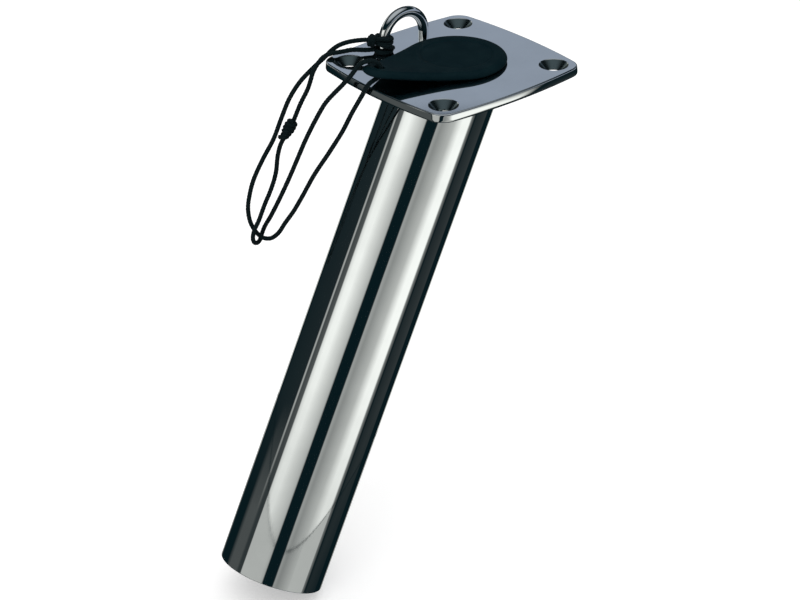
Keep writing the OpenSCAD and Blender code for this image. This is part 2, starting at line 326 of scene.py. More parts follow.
class Graph:
    """Adds nodes to one tree and joins them."""

    def __init__(self, tree: Tree) -> None:
        """Keeps the tree.

        Args:
            tree: A shader or geometry tree.
        """
        self.tree = tree

    def add(self, kind: str, inputs: dict[str | int, Any] | None = None, **settings: Any) -> Node:
        """Adds a node.

        Args:
            kind: The node's type.
            inputs: Values or output sockets, by socket name or number.
            **settings: Properties of the node.

        Returns:
            The node.
        """
        node = self.tree.nodes.new(kind)
        for key, value in settings.items():
            setattr(node, key, value)
        for key, value in (inputs or {}).items():
            if isinstance(value, Socket):
                self.tree.links.new(value, node.inputs[key])
            else:
                node.inputs[key].default_value = value
        return node

    def math(self, operation: str, a: Any, b: Any = 0.0) -> Socket:
        """Returns the output of one Math node on a and b."""
        return self.add("ShaderNodeMath", {0: a, 1: b}, operation=operation).outputs[0]

    def plus(self, a: Any, b: Any) -> Socket:
        """Returns a plus b."""
        return self.math("ADD", a, b)

    def minus(self, a: Any, b: Any) -> Socket:
        """Returns a minus b."""
        return self.math("SUBTRACT", a, b)

    def times(self, a: Any, b: Any) -> Socket:
        """Returns a times b."""
        return self.math("MULTIPLY", a, b)

    def over(self, a: Any, b: Any) -> Socket:
        """Returns a divided by b."""
        return self.math("DIVIDE", a, b)

    def larger(self, a: Any, b: Any) -> Socket:
        """Returns the larger of a and b."""
        return self.math("MAXIMUM", a, b)

    def towards(self, a: Any, b: Any, share: Any) -> Socket:
        """Returns a moved towards b by a share of the way."""
        return self.plus(a, self.times(share, self.minus(b, a)))

    def vector(self, operation: str, a: Any, b: Any = (0.0, 0.0, 0.0)) -> Socket:
        """Returns the output of one Vector Math node on a and b."""
        return self.add("ShaderNodeVectorMath", {0: a, 1: b}, operation=operation).outputs[0]

    def scaled(self, vector: Any, scale: Any) -> Socket:
        """Returns a vector times a number."""
        parts = {"Vector": vector, "Scale": scale}
        return self.add("ShaderNodeVectorMath", parts, operation="SCALE").outputs[0]

    def split(self, vector: Any) -> Any:
        """Returns a vector's X, Y and Z."""
        return self.add("ShaderNodeSeparateXYZ", {0: vector}).outputs

    def leant(self, vector: Socket) -> Socket:
        """Returns a vector turned so that its Z runs along the socket's axis."""
        turn = (0.0, -SocketAxis().lean, 0.0)
        return self.add("ShaderNodeMapping", {"Vector": vector, "Rotation": turn}).outputs[0]

    def faded(self, value: Any, fade: Fade) -> Socket:
        """Returns a fade's value at a place."""
        parts = {"From Min": fade.start, "From Max": fade.end, "To Min": fade.low, "To Max": fade.high}
        return self.add("ShaderNodeMapRange", {"Value": value, **parts}).outputs["Result"]

    def mixed(self, share: Any, a: Any, b: Any) -> Socket:
        """Returns the mix of two colours, each a socket or three numbers."""
        whole = lambda value: value if isinstance(value, Socket) else (*value, 1)
        return self.add("ShaderNodeMix", {0: share, 6: whole(a), 7: whole(b)}, data_type="RGBA").outputs[2]

    def bumped(self, strength: float, distance: float, height: Socket) -> Socket:
        """Returns the normals of a fine relief, its distance in metres."""
        parts = {"Strength": strength, "Distance": distance, "Height": height}
        return self.add("ShaderNodeBump", parts).outputs[0]

    def resampled(self, curve: Socket, step: Any) -> Socket:
        """Returns a curve with a point at every step."""
        parts = {"Curve": curve, "Length": step}
        return self.add("GeometryNodeResampleCurve", parts, mode="LENGTH").outputs[0]

    def skinned(self, curve: Socket, sides: Any, radius: Any, extra: dict[str, Any]) -> Socket:
        """Returns a curve's skin on a round section, with more inputs of the skin node."""
        ring = self.add("GeometryNodeCurvePrimitiveCircle", {"Resolution": sides, "Radius": radius})
        parts = {"Curve": curve, "Profile Curve": ring.outputs[0], **extra}
        return self.add("GeometryNodeCurveToMesh", parts).outputs[0]

    def finished(self, geometry: Socket, material: Socket, result: Node) -> None:
        """Ends a geometry tree with real geometry in its material."""
        real = self.add("GeometryNodeRealizeInstances", {"Geometry": geometry}).outputs[0]
        done = self.add("GeometryNodeSetMaterial", {"Geometry": real, "Material": material}).outputs[0]
        self.tree.links.new(done, result.inputs[0])


def bare_graph(owner: Material | bpy.types.World) -> Graph:
    """Returns the graph of a material or a world, emptied of its first nodes."""
    owner.use_nodes = True
    owner.node_tree.nodes.clear()
    return Graph(owner.node_tree)


def new_group(name: str, kind: str, sockets: Sequence[tuple[str, str, str, Any]]) -> tuple[Tree, Node, Node]:
    """Makes a node group with named sockets.

    Args:
        name: The group's name.
        kind: ShaderNodeTree or GeometryNodeTree.
        sockets: Name, INPUT or OUTPUT, socket type and default of each.

    Returns:
        The tree, its input node and its output node.
    """
    tree = bpy.data.node_groups.new(name, kind)
    for label, side, socket, default in sockets:
        made = tree.interface.new_socket(name=label, in_out=side, socket_type=socket)
        if default is not None:
            made.default_value = default
    return tree, tree.nodes.new("NodeGroupInput"), tree.nodes.new("NodeGroupOutput")


# The surface grain's second, wider pattern, and how the two share its height.
CLOUD_SIZE = 0.045
FINE_SHARE = 0.8
CLOUD_SHARE = 0.2


def grain_group() -> Tree:
    """Builds the fine surface grain that steel, rubber and vinyl share.

    Returns:
        A shader group from Vector, Size (1/m) and Streak to Grain (0 to 1), Cloud (0 to 1) and Height.
    """
    found = bpy.data.node_groups.get("surface_grain")
    if found:
        return found
    tree, given, result = new_group(
        "surface_grain",
        "ShaderNodeTree",
        (
            ("Vector", "INPUT", "NodeSocketVector", None),
            ("Size", "INPUT", "NodeSocketFloat", 900.0),
            ("Streak", "INPUT", "NodeSocketFloat", 1.0),
            ("Grain", "OUTPUT", "NodeSocketFloat", None),
            ("Cloud", "OUTPUT", "NodeSocketFloat", None),
            ("Height", "OUTPUT", "NodeSocketFloat", None),
        ),
    )
    g = Graph(tree)
    place, size = given.outputs["Vector"], given.outputs["Size"]
    along = g.add("ShaderNodeCombineXYZ", {"X": 1.0, "Y": 1.0, "Z": given.outputs["Streak"]})
    drawn = g.vector("MULTIPLY", place, along.outputs[0])
    parts = {"Vector": drawn, "Scale": size, "Detail": 4.0, "Roughness": 0.6}
    fine = g.add("ShaderNodeTexNoise", parts).outputs[0]
    parts = {"Vector": place, "Scale": g.times(size, CLOUD_SIZE), "Detail": 3.0}
    cloud = g.add("ShaderNodeTexNoise", parts).outputs[0]
    height = g.plus(g.times(fine, FINE_SHARE), g.times(cloud, CLOUD_SHARE))
    for label, socket in (("Grain", fine), ("Cloud", cloud), ("Height", height)):
        tree.links.new(socket, result.inputs[label])
    return tree


def grained(name: str, size: float, streak: float, leaning: bool = False) -> tuple[Material, Graph, Any]:
    """Starts a material whose surface grain is already placed.

    Args:
        name: The material's name.
        size: Grains per metre.
        streak: 1 for even grain, less for grain drawn out along the piece.
        leaning: The grain runs along the socket's axis, not straight up.

    Returns:
        The material, its graph and the grain's outputs.
    """
    material = bpy.data.materials.new(name)
    g = bare_graph(material)
    place = g.add("ShaderNodeTexCoord").outputs["Object"]
    if leaning:
        place = g.leant(place)
    grain = g.add("ShaderNodeGroup", node_tree=grain_group())
    g.tree.links.new(place, grain.inputs["Vector"])
    grain.inputs["Size"].default_value = size
    grain.inputs["Streak"].default_value = streak
    return material, g, grain.outputs


def finish_surface(g: Graph, inputs: dict[str | int, Any]) -> None:
    """Puts the Principled shader and the output at the end of a material.

    Args:
        g: The material's graph.
        inputs: The shader's sockets.
    """
    shader = g.add("ShaderNodeBsdfPrincipled", inputs)
    g.add("ShaderNodeOutputMaterial", {"Surface": shader.outputs[0]})


# ---------------------------------------------------------------- finishes


@dataclass(frozen=True)
class PolishedSteel:
    """Mirror polished stainless steel with the faint haze of its last buffing."""

    colour: Colour = (0.86, 0.885, 0.90)
    dulled: float = 0.95
    smoothest: float = 0.008
    haziest: float = 0.032
    grains: float = 1400.0
    drawn: float = 0.06
    even: float = 0.7
    relief: tuple[float, float] = (0.04, 0.00005)
    # the countersinks' walls: colour, which is their turned finish made darker as painted shade in the
    # recess, added roughness, and their limits and rings in metres
    turned: Colour = (0.12, 0.16, 0.17)
    turned_rough: float = 0.2
    sink_reach: Fade = Fade(0.00675, 0.0069, 1.0, 0.0)
    sink_top: Fade = Fade(0.0037, 0.0039, 1.0, 0.0)
    ring_pitch: float = 0.0003
    slot: str = "polished_steel"

    def material(self, name: str = "polished_steel", leaning: bool = False, sunk: bool = False) -> Material:
        """Builds the material.

        Args:
            name: The material's name.
            leaning: The buffing lines run along the tube.
            sunk: The countersinks keep the duller rings of their cutter, and their walls are darkened with
                painted shade.

        Returns:
            The material.
        """
        made, g, grain = grained(name, self.grains, self.drawn if leaning else self.even, leaning)
        dull = tuple(c * self.dulled for c in self.colour)
        tone = g.mixed(g.faded(grain["Cloud"], Fade(0.35, 0.65)), self.colour, dull)
        both = g.plus(g.times(grain["Grain"], 0.5), g.times(grain["Cloud"], 0.5))
        rough = g.faded(both, Fade(0.38, 0.62, self.smoothest, self.haziest))
        height = grain["Height"]
        if sunk:
            mask, rings = self.sink_shade_and_rings(g)
            # painted shade: the countersinks' walls take a dark colour, darker than their duller turned
            # finish, for the shade in the recess
            tone = g.mixed(mask, tone, self.turned)
            rough = g.plus(rough, g.times(mask, self.turned_rough))
            height = g.plus(height, g.times(rings, mask))
        normal = g.bumped(*self.relief, height)
        finish_surface(g, {"Base Color": tone, "Metallic": 1.0, "Roughness": rough, "Normal": normal})
        return made

    def sink_shade_and_rings(self, g: Graph) -> tuple[Socket, Socket]:
        """Finds the countersinks' walls, which take painted shade, and the fine rings on them.

        Args:
            g: The flange's material.

        Returns:
            A mask of the walls, for their painted shade, added roughness and rings, and the rings' height.
        """
        place = g.split(g.add("ShaderNodeTexCoord").outputs["Object"])
        half = Flange().pitch / 2 * MM
        gaps = [g.minus(g.math("ABSOLUTE", place[axis]), half) for axis in ("X", "Y")]
        away = g.math("SQRT", g.plus(*(g.times(gap, gap) for gap in gaps)))
        near = g.faded(away, self.sink_reach)
        deep = g.faded(place["Z"], self.sink_top)
        rings = g.math("SINE", g.times(away, 2 * math.pi / self.ring_pitch))
        return g.times(near, deep), rings


@dataclass(frozen=True)
class WeldSteel:
    """A bare stainless bead: duller, a little straw coloured where the heat was."""

    colour: Colour = (0.60, 0.60, 0.59)
    heat: Colour = (0.52, 0.45, 0.34)
    grains: float = 2600.0
    relief: tuple[float, float] = (0.35, 0.0001)
    slot: str = "weld_steel"

    def material(self) -> Material:
        """Returns the material."""
        made, g, grain = grained("weld_steel", self.grains, 1.0)
        tone = g.mixed(g.faded(grain["Cloud"], Fade(0.42, 0.7)), self.colour, self.heat)
        normal = g.bumped(*self.relief, grain["Height"])
        rough = g.faded(grain["Grain"], Fade(0.35, 0.65, 0.22, 0.42))
        finish_surface(g, {"Base Color": tone, "Metallic": 1.0, "Roughness": rough, "Normal": normal})
        return made


@dataclass(frozen=True)
class MouldedSkin:
    """A moulded black rubber or vinyl: a fine satin skin with a faint bloom."""

    name: str
    slot: str
    colour: Colour
    bloom: Colour
    roughness: tuple[float, float]
    gloss: float = 0.05
    grains: float = 3000.0
    relief: tuple[float, float] = (0.22, 0.00008)

    def material(self) -> Material:
        """Returns the material."""
        made, g, grain = grained(self.name, self.grains, 1.0)
        tone = g.mixed(g.faded(grain["Cloud"], Fade(0.35, 0.7)), self.colour, self.bloom)
        normal = g.bumped(*self.relief, grain["Height"])
        rough = g.faded(grain["Grain"], Fade(0.35, 0.65, *self.roughness))
        finish_surface(
            g, {"Base Color": tone, "Roughness": rough, "Specular IOR Level": self.gloss, "Normal": normal}
        )
        return made


@dataclass(frozen=True)
class BraidYarn:
    """The cord's dark synthetic yarn: short fibres and a soft sheen."""

    colour: Colour = (0.001, 0.008, 0.010)
    worn: Colour = (0.004, 0.016, 0.020)
    grains: float = 5200.0
    relief: tuple[float, float] = (0.6, 0.0001)
    gloss: float = 0.15
    sheen: float = 0.03
    slot: str = "cord_fabric"

    def material(self) -> Material:
        """Returns the material."""
        made, g, grain = grained("braid_yarn", self.grains, 1.0)
        tone = g.mixed(g.faded(grain["Grain"], Fade(0.45, 0.72)), self.colour, self.worn)
        normal = g.bumped(*self.relief, grain["Height"])
        rough = g.faded(grain["Grain"], Fade(0.3, 0.7, 0.5, 0.8))
        sheen = {"Sheen Weight": self.sheen, "Sheen Roughness": 0.5, "Specular IOR Level": self.gloss}
        finish_surface(g, {"Base Color": tone, "Roughness": rough, **sheen, "Normal": normal})
        return made


# ---------------------------------------------------------------- camera


@dataclass(frozen=True)
class Viewpoint:
    """The photograph's camera, in millimetres of the row frame."""

    position: Triple = (-656.832, -762.263, 438.166)
    right: Triple = (0.76739126, -0.64092989, -0.01787536)
    up: Triple = (0.32268844, 0.36196665, 0.87455836)
    back: Triple = (-0.55406031, -0.67689661, 0.4845907)
    lens: float = 107.682
    sensor: float = 36.0
    clip: tuple[float, float] = (0.02, 40.0)

    def build(self) -> Piece:
        """Makes the camera and gives it to the scene.

        Returns:
            The camera object.
        """
        data = bpy.data.cameras.new("photo_camera")
        data.lens, data.sensor_width, data.sensor_fit = self.lens, self.sensor, "AUTO"
        data.clip_start, data.clip_end = self.clip
        camera = linked("photo_camera", data)
        turn = Matrix((self.right, self.up, self.back)).transposed()
        camera.matrix_world = Matrix.Translation(Vector(self.position) * MM) @ turn.to_4x4()
        bpy.context.scene.camera = camera
        return camera

    def ray(self, x: float, y: float) -> tuple[Vector, Vector]:
        """Returns the start and direction of the ray through a pixel, in metres."""
        long_side = max(FRAME_W, FRAME_H)
        aim = np.array([x - FRAME_W / 2, FRAME_H / 2 - y, -long_side * self.lens / self.sensor])
        way = aim @ np.array([self.right, self.up, self.back])
        return Vector(self.position) * MM, Vector(way / np.linalg.norm(way))

    def pixels(self, points: np.ndarray) -> np.ndarray:
        """Returns the pixel of each point in metres."""
        away = np.asarray(points, float) / MM - np.array(self.position)
        right, up, back = (away @ np.array([self.right, self.up, self.back]).T).T
        scale = max(FRAME_W, FRAME_H) * self.lens / self.sensor
        return np.stack([FRAME_W / 2 - scale * right / back, FRAME_H / 2 + scale * up / back], axis=1)

    def surface_point(self, pixel: tuple[float, float], carrier: Piece) -> Vector:
        """Finds where a pixel's ray meets a piece.

        Args:
            pixel: The place in the photograph's frame.
            carrier: The finished piece, in place.

        Returns:
            The point met, or the place of the piece nearest the ray, in metres.
        """
        tree = BVHTree.FromObject(carrier, bpy.context.evaluated_depsgraph_get())
        start, way = self.ray(*pixel)
        met = tree.ray_cast(start, way)[0]
        if met is not None:
            return met
        corners = np.array([v.co for v in carrier.data.vertices])
        gap = np.linalg.norm(np.cross(corners - np.array(start), np.array(way)), axis=1)
        return Vector(corners[int(gap.argmin())])


# ---------------------------------------------------------------- the socket's axis


@dataclass(frozen=True)
class SocketAxis:
    """The slanted line that the tube, the liner, the pin and the cap's skirt share."""

    lean: float = math.radians(27.0)
    mouth_x: float = 1.0
    top_z: float = 4.0

    def point(self, radius: float, depth: float, turn: float) -> np.ndarray:
        """Places a point round the axis.

        Args:
            radius: Distance from the axis in millimetres.
            depth: Millimetres below the flange's top along the axis.
            turn: Angle from the tube's high side, in radians.

        Returns:
            The point in millimetres.
        """
        up = np.array([math.sin(self.lean), 0.0, math.cos(self.lean)])
        side = np.array([math.cos(self.lean), 0.0, -math.sin(self.lean)])
        middle = np.array([self.mouth_x, 0.0, self.top_z]) - depth * up
        return middle + radius * (math.cos(turn) * side + math.sin(turn) * np.array([0.0, 1.0, 0.0]))

    def depth_at(self, radius: float, turn: float, z: float) -> float:
        """Returns the depth at which a line along the axis crosses a level."""
        return (self.top_z - z - radius * math.cos(turn) * math.sin(self.lean)) / math.cos(self.lean)

    def bar(self, name: str, radius: float, top: float, bottom: float) -> Piece:
        """Returns a plain round bar on the axis, used as a cutting tool."""
        return turned_block(name, [(radius, top), (radius, bottom)], 192, self.point)


# ---------------------------------------------------------------- cords


@dataclass(frozen=True)
class Braid:
    """A round braid of twelve strands over a core, as a Geometry Nodes tree. Sizes in millimetres."""

    cord_d: float = 2.0
    strand_r: float = 0.28
    strand_reach: float = 0.82
    weave: float = 0.04
    pitch: float = 10.0
    strands: int = 12
    sides: int = 5
    step: float = 0.42
    core_sides: int = 8
    core_fill: float = 0.13

    def tree(self) -> Tree:
        """Builds the tree once.

        Returns:
            A geometry tree whose path becomes the braid.
        """
        found = bpy.data.node_groups.get("braided_cord")
        if found:
            return found
        length = "NodeSocketFloat"
        tree, given, result = new_group(
            "braided_cord",
            "GeometryNodeTree",
            (
                ("Geometry", "INPUT", "NodeSocketGeometry", None),
                ("Strand Radius", "INPUT", length, self.strand_r * MM),
                ("Strand Reach", "INPUT", length, self.strand_reach * MM),
                ("Weave", "INPUT", length, self.weave * MM),
                ("Pitch", "INPUT", length, self.pitch * MM),
                ("Strands", "INPUT", "NodeSocketInt", self.strands),
                ("Sides", "INPUT", "NodeSocketInt", self.sides),
                ("Step", "INPUT", length, self.step * MM),
                ("Yarn", "INPUT", "NodeSocketMaterial", None),
                ("Geometry", "OUTPUT", "NodeSocketGeometry", None),
            ),
        )
        g = Graph(tree)
        size = given.outputs
        line = g.add("GeometryNodeSetCurveNormal", {"Curve": size["Geometry"]}, mode="MINIMUM_TWIST")
        line = g.resampled(line.outputs[0], size["Step"])
        parts = {"Geometry": line, "Amount": size["Strands"]}
        copies = g.add("GeometryNodeDuplicateElements", parts, domain="SPLINE").outputs
        index = copies["Duplicate Index"]
        hand = g.minus(1.0, g.times(g.math("MODULO", index, 2.0), 2.0))
        each_way = g.over(size["Strands"], 2.0)
        pair = g.math("FLOOR", g.over(index, 2.0))
        start = g.over(g.times(pair, 2 * math.pi), each_way)
        travel = g.add("GeometryNodeSplineParameter").outputs["Length"]
        turns = g.times(g.over(travel, size["Pitch"]), 2 * math.pi)
        angle = g.plus(g.times(turns, hand), start)
        wave = g.math("COSINE", g.times(turns, each_way))
        reach = g.plus(size["Strand Reach"], g.times(g.times(wave, hand), size["Weave"]))
        across = g.add("GeometryNodeInputNormal").outputs[0]
        other = g.vector("CROSS_PRODUCT", g.add("GeometryNodeInputTangent").outputs[0], across)
        offset = g.vector(
            "ADD",
            g.scaled(across, g.times(g.math("COSINE", angle), reach)),
            g.scaled(other, g.times(g.math("SINE", angle), reach)),
        )
        moved = g.add("GeometryNodeSetPosition", {"Geometry": copies["Geometry"], "Offset": offset})
        caps = {"Fill Caps": True}
        skin = g.skinned(moved.outputs[0], size["Sides"], size["Strand Radius"], caps)
        core_line = g.resampled(line, g.times(size["Step"], 2.0))
        core_r = g.plus(size["Strand Reach"], self.core_fill * MM)
        core = g.skinned(core_line, self.core_sides, core_r, caps)
        joined = g.add("GeometryNodeJoinGeometry")
        for part in (core, skin):
            tree.links.new(part, joined.inputs[0])
        g.finished(joined.outputs[0], size["Yarn"], result)
        return tree

    def laid(self, name: str, line: np.ndarray, yarn: Material) -> Piece:
        """Lays the braid along a line.

        Args:
            name: The piece's name.
            line: Points in millimetres.
            yarn: The cord's material.

        Returns:
            The braid as a plain mesh.
        """
        return run_along(name, line, self.tree(), {"Yarn": yarn}, False)


def run_along(name: str, line: np.ndarray, tree: Tree, values: dict[str, Any], closed: bool) -> Piece:
    """Runs a geometry tree along a line and keeps the mesh.

    Args:
        name: The piece's name.
        line: Points in millimetres.
        tree: The tree, whose first input is the line.
        values: Inputs by name.
        closed: The line is a loop.

    Returns:
        The mesh object.
    """
    curve = bpy.data.curves.new(name + "_line", "CURVE")
    curve.dimensions = "3D"
    spline = curve.splines.new("POLY")
    spline.points.add(len(line) - 1)
    spline.points.foreach_set("co", np.hstack([line * MM, np.ones((len(line), 1))]).ravel())
    spline.use_cyclic_u = closed
    carrier = linked(name + "_line", curve)
    step = carrier.modifiers.new("run", "NODES")
    step.node_group = tree
    for item in tree.interface.items_tree:
        if item.in_out == "INPUT" and item.name in values:
            step[item.identifier] = values[item.name]
    depsgraph = bpy.context.evaluated_depsgraph_get()
    mesh = bpy.data.meshes.new_from_object(carrier.evaluated_get(depsgraph), depsgraph=depsgraph)
    bpy.data.objects.remove(carrier)
    mesh.name = name
    mesh.shade_smooth()
    return linked(name, mesh)


@dataclass(frozen=True)
class Lanyard:
    """The cap's cord with its hitch on the eye and its joining knot. Sizes in millimetres."""

    braid: Braid = Braid()
    length: float = 517.0
    blend_from: Triple = (9.05, 10.54, 1.04)
    blend_to: Triple = (-13.34, -15.53, -1.53)
    outer_run: Route = (
        (-18.5, 31.5, 10), (-22, 33.5, 11), (-28, 38, 10.5), (-32, 41, 9), (-34.5, 43.5, 6.5),
        (-37.5, 45, 3.5), (-43, 47, -1), (-49, 50, -7.5), (-53.5, 52, -14.5), (-57, 54.5, -24.5),
        (-60.5, 57, -35.5), (-64.5, 60.5, -45.5), (-68.5, 63.5, -56.5), (-70, 65, -64),
        (-71, 65.5, -71), (-70.5, 65, -78), (-69, 64, -82.5), (-67.3, 62.9, -85.5),
    )
    tail_loop: Route = (
        (-65.5, 61.4, -87.2), (-63, 59.3, -87.3), (-60.5, 57, -84.8), (-58.5, 53.5, -78.5),
        (-57, 48.5, -71), (-55.5, 43, -61.5), (-54, 35.5, -48.5), (-51.5, 25.5, -33),
        (-50, 17.5, -20.5), (-49, 12, -10.5), (-48, 8, -3.5), (-47.2, 5.5, 1), (-46.8, 3.4, 4.8),
        (-45.2, 2.8, 6.4), (-42.6, 2.9, 7.1), (-40.2, 3.2, 7.7), (-38.6, 3.5, 9.5),
        (-38.3, 3.8, 11.4), (-39, 4.3, 13.4), (-40.9, 5.4, 14.8), (-43.4, 7.4, 14.8),
        (-45.4, 9.2, 13.6), (-46.9, 10.8, 11), (-48.2, 12.4, 8), (-48.8, 15, 4.8), (-49.2, 18.5, 1),
        (-52.5, 26, -8.5), (-54.5, 31, -17.5), (-56.5, 37, -29.5), (-58, 42.5, -41.5),
        (-59.5, 48, -53.5), (-61.5, 54.5, -67), (-62.5, 59.5, -76), (-63.5, 63, -82),
    )
    inner_run: Route = (
        (-64.5, 64.5, -86.5), (-66, 64, -88.8), (-68.3, 63.2, -89.4), (-70.4, 62.4, -88.3),
        (-71.7, 61.8, -85.8), (-71.5, 61, -81.5), (-69, 60, -76), (-66, 59, -68.5), (-62.5, 58, -61),
        (-60, 57, -53), (-59, 56, -43.5), (-57.5, 55, -37.5), (-54, 52, -30), (-52, 50.5, -24),
        (-50, 49, -18), (-47, 46.5, -10), (-44.5, 45, -1.5), (-41.8, 44.2, 2.4), (-39.2, 43.7, 4.4),
        (-36.5, 42, 5.6), (-31, 39.5, 6), (-28, 37.5, 6.5), (-22, 33.5, 6), (-18.5, 31.5, 6),
    )
    # the hitch round the eye's leg: degrees, distance from the rod's axis, height above the flange
    hitch_turns: Route = (
        (157, 4.6, 6.3), (185, 4.1, 6.8), (220, 3.6, 7.2), (470, 3.55, 7.2), (520, 3.6, 6.3),
        (560, 3.58, 5.3), (600, 3.55, 5.2), (930, 3.6, 5.1), (975, 4.5, 4.3), (1025, 4.4, 2.6),
        (1065, 3.7, 1.6), (1130, 3.55, 1.1), (1480, 3.55, 1.1), (1560, 3.8, 1.7), (1597, 4.4, 2.4),
    )
    # the turns round the outer run, by the hitch: degrees, distance from its middle, distance along it
    neck_turns: Route = ((-90, 1.4, 1.0), (90, 2.0, 1.6), (560, 2.3, 3.4))
    # the knot round the inner run: degrees, distance from its middle, distance along it
    knot_turns: Route = (
        (-105, 1.9, 2.7), (-40, 1.25, 3.3), (90, 1.05, 3.9), (360, 1.4, 5.2), (720, 1.85, 7.1),
        (1080, 2.0, 9.0), (1440, 1.9, 10.8), (1680, 1.65, 12.0), (1800, 1.35, 13.0),
    )
    knot_slant: float = 0.45
    slant_from: float = 0.7
    wind_step: float = 6.0
    cord_step: float = 0.4
    turn_step: float = 0.3
    knot_posts: tuple[int, int] = (11, 13)

    def line(self) -> np.ndarray:
        """Returns the route as close points in millimetres."""
        return smooth_line(np.array(self.outer_run + self.tail_loop + self.inner_run, float), self.cord_step)

    def wound(self, turns: Sequence[Triple], place: Placing) -> np.ndarray:
        """Winds a strand round an axis.

        Args:
            turns: Degrees, distance from the axis and distance along it, at chosen places.
            place: Gives the point for an angle in radians, a distance out and a distance along.

        Returns:
            Close points in millimetres.
        """
        keys = np.array(turns, float)
        angle = np.arange(keys[0, 0], keys[-1, 0], self.wind_step)
        out, along = (np.interp(angle, keys[:, 0], keys[:, k]) for k in (1, 2))
        points = [place(math.radians(a), r, h) for a, r, h in zip(angle, out, along)]
        return smooth_line(np.array(points), self.turn_step)

    def on_eye_leg(self, angle: float, out: float, height: float) -> np.ndarray:
        """Returns a point round the eye's left leg, which bends above its straight part."""
        eye = EyeStaple()
        bend = max(height - eye.leg, 0.0) / (eye.span / 2)
        side = np.array([math.cos(bend), 0.0, -math.sin(bend)])
        middle = np.array([eye.x, eye.y, eye.base_z + min(height, eye.leg)]) - eye.span / 2 * side
        return middle + out * (math.cos(angle) * side + math.sin(angle) * np.array([0.0, 1.0, 0.0]))

    def round_run(self, posts: Sequence[Sequence[float]], slant: float) -> Placing:
        """Returns a placing function for turns round a straight stretch of a run.

        Args:
            posts: The stretch's first and last points.
            slant: How far each turn leans along the stretch.

        Returns:
            The function, of an angle in radians, a distance out and a distance along.
        """
        first, last = (np.array(post, float) for post in posts)
        way = (last - first) / np.linalg.norm(last - first)
        side = np.cross(way, (0.0, 0.0, 1.0))
        side /= np.linalg.norm(side)
        rise = np.cross(way, side)

        def place(angle: float, out: float, along: float) -> np.ndarray:
            """Returns the point for an angle, a distance out and a distance along."""
            middle = first + (along + slant * math.cos(angle - self.slant_from)) * way
            return middle + out * (math.cos(angle) * side + math.sin(angle) * rise)

        return place

    def build(self, yarn: BraidYarn) -> list[Piece]:
        """Args:
            yarn: The cord's finish.

        Returns:
            The three pieces.
        """
        material = yarn.material()
        line = self.line()
        cord = self.braid.laid("braided_lanyard", line, material)
        neck = self.wound(self.neck_turns, self.round_run(self.outer_run[1::-1], 0.0))
        wraps = self.wound(self.hitch_turns, self.on_eye_leg)
        hitch_line = smooth_line(np.vstack([neck, wraps]), self.turn_step)
        hitch = self.braid.laid("hitch_on_eye", hitch_line, material)
        posts = [self.inner_run[i] for i in self.knot_posts]
        knot_line = self.wound(self.knot_turns, self.round_run(posts, self.knot_slant))
        knot = self.braid.laid("barrel_knot", knot_line, material)
        for piece, node in ((cord, "lanyard"), (hitch, "eye_hitch"), (knot, "joining_knot")):
            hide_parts(node)
        start, end = (tuple(v * MM for v in place) for place in (self.blend_from, self.blend_to))
        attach(hitch, Body.HOLDER.value)
        for piece in (cord, knot):
            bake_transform(piece)
            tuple(start)
            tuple(end)
        tuple(v * MM for v in self.outer_run[0])
        return [cord, hitch, knot]


# ---------------------------------------------------------------- steel pieces


